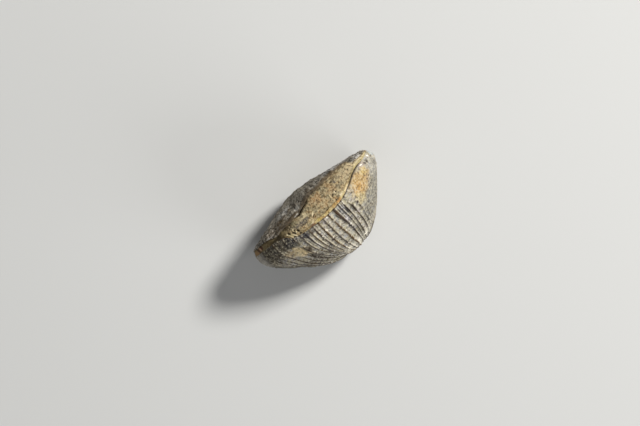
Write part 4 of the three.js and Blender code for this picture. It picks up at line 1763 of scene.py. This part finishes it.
RIBBED_VALVE = Valve(
    name="deep_ribbed_valve",
    node="ribbed_valve",
    slot="ribbed_shell",
    outward=-1,
    margin=RIBBED_MARGIN,
    beak=(2.2, -9.0, 0.0),
    narrowing=0.35,
    bulge=Profile((
        (-17.0, 5.9), (-15.5, 6.7), (-14.0, 7.65), (-12.5, 7.9), (-11.0, 7.5), (-9.5, 7.15), (-7.4, 7.1),
        (-4.5, 7.4), (-2.0, 7.5), (1.5, 7.6), (4.0, 7.25), (6.6, 7.35), (10.6, 7.35), (14.6, 6.3),
        (17.0, 4.0),
    )),
    shoulder=Profile(((-17.0, 0.4), (-7.4, 0.37), (1.6, 0.62), (9.6, 0.43), (17.0, 0.44))),
    flare=Profile(((-17.0, -0.6), (-15.0, -0.3), (-12.0, 0.0), (11.0, 0.0), (15.0, 1.6), (17.0, 3.0))),
    ribs=Ribs(
        height=0.42,
        strength=Profile((
            (-17.0, 0.4), (-12.0, 0.6), (-9.0, 0.75), (-5.0, 1.0), (4.5, 1.0), (6.5, 0.6), (8.5, 0.3),
            (11.0, 0.1), (17.0, 0.05),
        )),
        drift=Profile((
            (0.0, 0.0), (14.0, -0.1), (19.0, -0.2), (21.0, -0.4), (22.0, -0.26), (23.0, -0.07),
            (24.0, -0.17), (26.0, -0.28), (27.0, -0.42), (28.0, -0.68), (29.0, -0.64), (30.0, -0.3),
            (32.0, -0.3), (34.0, -0.4), (40.0, 0.0), (51.0, 0.0),
        )),
        spread=Profile((
            (0.0, 0.0), (10.0, -0.2), (17.0, -1.5), (20.0, -2.4), (21.0, -1.9), (22.0, -0.4), (23.0, 1.2),
            (24.0, 1.75), (25.0, 1.0), (26.0, -0.3), (27.0, -1.6), (28.0, -2.5), (30.0, -2.9),
            (31.0, -4.2), (32.0, -5.5), (34.0, -6.0), (40.0, 0.0), (51.0, 0.0),
        )),
        groove=0.19,
        stained=(22, 24, 26),
        bare=(
            Swelling(-9.0, -6.1, 1.5, 0.85),
            Swelling(-9.9, -5.3, 1.2, 0.6),
            Swelling(5.8, -4.4, 0.9, 0.7),
            Swelling(7.4, -4.6, 1.3, 0.8),
        ),
        seed=3,
    ),
    growth_lines=GrowthLines(
        steps=(
            (0.3, 0.05), (0.45, 0.04), (0.56, 0.07), (0.68, 0.06), (0.77, 0.04), (0.85, 0.07), (0.93, 0.04),
        ),
        width=0.005,
        fine=Profile(((-17.0, 0.06), (-10.0, 0.06), (-8.0, 0.03), (17.0, 0.02))),
        spacing=0.03,
    ),
    wear=Wear(lumps=0.12, grit=0.05, pits=0.16, pit_size=0.95, pit_share=0.35, rubbed=0.4),
    swellings=(
        Swelling(-9.6, -5.8, 2.2, 0.5),
        Swelling(-12.5, -2.5, 2.0, -0.3),
        Swelling(9.5, -3.2, 2.6, 0.25),
    ),
    knobs=(
        Knob((-0.15, -12.5, 9.9), 0.5, 0.46),
        Knob((0.95, -12.7, 9.8), 0.5, 0.44),
        Knob((-1.0, -12.9, 9.0), 0.45, 0.34),
        Knob((-3.95, -12.2, 10.0), 0.35, 0.2),
        Knob((-2.55, -12.6, 9.5), 0.35, 0.22),
        Knob((4.15, -12.5, 9.4), 0.35, 0.2),
    ),
    marks=(
        Ridge((-7.9, -6.0), (-6.9, -7.4), 0.28, -0.3),
        Ridge((-7.4, -8.4), (-7.2, -8.7), 0.3, -0.35),
        Ridge((-14.0, -4.7), (-13.5, -5.3), 0.16, -0.2),
        Ridge((5.9, -5.9), (5.8, -7.1), 0.26, -0.25),
        Ridge((7.2, -6.1), (7.2, -6.2), 0.22, -0.2),
        Ridge((7.1, -6.9), (7.1, -7.1), 0.22, -0.2),
        Ridge((4.6, -5.4), (4.7, -6.9), 0.18, -0.15),
        Ridge((1.9, -5.6), (2.2, -6.5), 0.14, -0.2),
        Ridge((13.75, -0.95), (13.9, -1.2), 0.25, -0.12),
        Ridge((14.45, -0.8), (14.55, -1.05), 0.25, -0.12),
        Ridge((-2.2, -8.7), (-1.0, -8.8), 0.16, -0.12),
        Ridge((-4.3, -10.2), (-3.7, -10.5), 0.22, -0.2),
        Ridge((-8.2, -5.4), (-8.0, -5.5), 0.22, 0.12),
        Ridge((0.1, -4.4), (0.2, -4.5), 0.16, 0.1),
        Ridge((15.4, -0.2), (15.5, -0.3), 0.18, 0.08),
        Ridge((12.8, -0.8), (13.2, -0.85), 0.12, 0.05),
    ),
    seed=21,
    rows=116,
    columns=720,
)

SHALLOW_VALVE = Valve(
    name="worn_shallow_valve",
    node="shallow_valve",
    slot="worn_shell",
    outward=1,
    margin=SHALLOW_MARGIN,
    beak=(-0.85, 2.35, 0.0),
    narrowing=0.3,
    bulge=Profile((
        (-17.0, 0.8), (-14.4, 1.9), (-10.4, 3.15), (-6.4, 3.4), (-2.4, 3.25), (-0.4, 2.9), (2.0, 2.6),
        (5.0, 2.45), (7.6, 1.9), (9.6, 1.5), (11.6, 1.15), (13.6, 1.7), (17.0, 0.9),
    )),
    shoulder=level(0.5),
    flare=level(0.0),
    ribs=Ribs(
        height=0.07,
        strength=Profile(((-17.0, 0.5), (0.0, 1.0), (17.0, 0.5))),
        drift=level(0.0),
        spread=level(0.0),
        groove=0.24,
        stained=(),
        bare=(),
        seed=8,
    ),
    growth_lines=GrowthLines(
        steps=((0.4, 0.04), (0.55, 0.05), (0.66, 0.03), (0.78, 0.05), (0.88, 0.04), (0.95, 0.03)),
        width=0.006,
        fine=level(0.02),
        spacing=0.035,
    ),
    wear=Wear(lumps=0.08, grit=0.09, pits=0.16, pit_size=0.8, pit_share=0.1, rubbed=0.7),
    swellings=(
        Swelling(-10.0, 2.2, 2.0, 0.1),
    ),
    knobs=(),
    marks=(
        Ridge((-4.9, 0.25), (-3.9, 0.45), 0.1, 0.08),
        Ridge((-3.8, 1.25), (-3.0, 1.4), 0.36, 0.2),
        Ridge((-6.2, 0.6), (-3.9, 0.85), 0.22, -0.2),
        Ridge((-8.6, 1.4), (-8.4, 1.5), 0.2, -0.12),
        Ridge((0.6, 2.8), (0.9, 2.9), 0.35, -0.12),
        Ridge((6.7, 2.4), (7.2, 2.4), 0.25, -0.1),
        Ridge((-7.0, 1.85), (-6.4, 1.95), 0.22, -0.12),
        Ridge((-5.2, 2.15), (-4.8, 2.3), 0.22, -0.14),
        Ridge((-3.6, 2.1), (-3.2, 2.25), 0.24, -0.14),
        Ridge((-7.7, 2.45), (-7.5, 2.55), 0.28, 0.1),
        Ridge((-6.3, 2.35), (-6.0, 2.4), 0.22, 0.08),
        Ridge((-5.0, 2.7), (-4.7, 2.75), 0.2, 0.08),
    ),
    seed=34,
    rows=90,
    columns=720,
)

SEDIMENT = SedimentFill(
    near=RIBBED_MARGIN,
    far=SEDIMENT_FAR,
    crown=0.3,
    cement=Profile((
        (-9.4, 0.0), (-8.6, 0.4), (-6.6, 0.4), (-4.8, 0.6), (-3.0, 0.8), (-1.6, 1.0), (7.8, 1.0),
        (8.6, 0.6), (11.0, 0.6), (11.6, 0.9), (15.4, 0.9), (15.9, 0.0),
    )),
    teeth=(
        Ridge((-8.7, -1.5), (-8.0, -2.7), 0.15, 0.1),
        Ridge((-8.0, -2.1), (-7.2, -3.0), 0.13, 0.1),
        Ridge((-7.2, -1.5), (-7.1, -1.6), 0.13, 0.08),
        Ridge((-6.7, -2.1), (-6.9, -2.4), 0.13, 0.08),
        Ridge((-3.2, -3.0), (-2.7, -3.15), 0.22, 0.08),
        Ridge((5.5, -2.7), (6.5, -2.45), 0.28, 0.1),
        Ridge((-1.5, -1.5), (-1.9, -1.9), 0.16, 0.08),
        Ridge((3.6, -1.2), (3.6, -1.7), 0.14, 0.08),
        Ridge((4.9, -1.3), (4.9, -1.7), 0.14, 0.08),
        Ridge((11.9, 0.15), (13.8, 0.5), 0.22, 0.08),
        Ridge((13.8, 0.3), (15.4, 0.6), 0.14, 0.08),
    ),
    nicks=(
        Ridge((-8.42, -1.5), (-8.32, -1.65), 0.24, -0.35),
        Ridge((-7.55, -1.9), (-7.2, -2.4), 0.17, -0.3),
        Ridge((-7.85, -2.9), (-7.7, -3.0), 0.2, -0.3),
        Ridge((-6.95, -1.75), (-6.85, -1.8), 0.17, -0.3),
        Ridge((-6.4, -2.2), (-6.3, -2.5), 0.24, -0.4),
        Ridge((-6.35, -3.05), (-6.25, -3.1), 0.2, -0.3),
        Ridge((-2.0, -2.3), (-1.5, -2.05), 0.13, -0.15),
        Ridge((3.9, -1.8), (4.3, -1.5), 0.16, -0.2),
        Ridge((5.1, -1.4), (5.2, -1.5), 0.14, -0.15),
        Ridge((4.0, -2.9), (4.3, -2.9), 0.14, -0.15),
        Ridge((1.1, -3.2), (1.6, -3.1), 0.12, -0.12),
        Ridge((5.5, 0.7), (5.8, 0.75), 0.16, -0.12),
        Ridge((10.1, 0.35), (10.3, 0.35), 0.14, -0.12),
    ),
    crack=Profile((
        (6.4, 0.0), (7.8, 0.1), (9.0, 0.2), (10.5, 0.26), (12.0, 0.2), (13.6, 0.1), (15.0, 0.0),
    )),
    furrow=Profile((
        (-17.0, 0.1), (-12.0, 0.2), (-9.0, 0.35), (-5.0, 0.4), (-3.9, 0.8), (-1.6, 0.7), (-0.4, 0.3),
        (3.0, 0.15), (6.0, 0.1), (8.5, 0.0), (17.0, 0.0),
    )),
    seed=55,
    rows=84,
    columns=900,
)


def main() -> None:
    """Builds the shell piece by piece, and the studio around it."""
    logging.basicConfig(level=logging.INFO)
    RIBBED_VALVE.build(RibbedShellFinish().build())
    SHALLOW_VALVE.build(WornShellFinish().build())
    SEDIMENT.build(SedimentFinish().build())
    Studio().build()


if __name__ == "__main__":
    main()
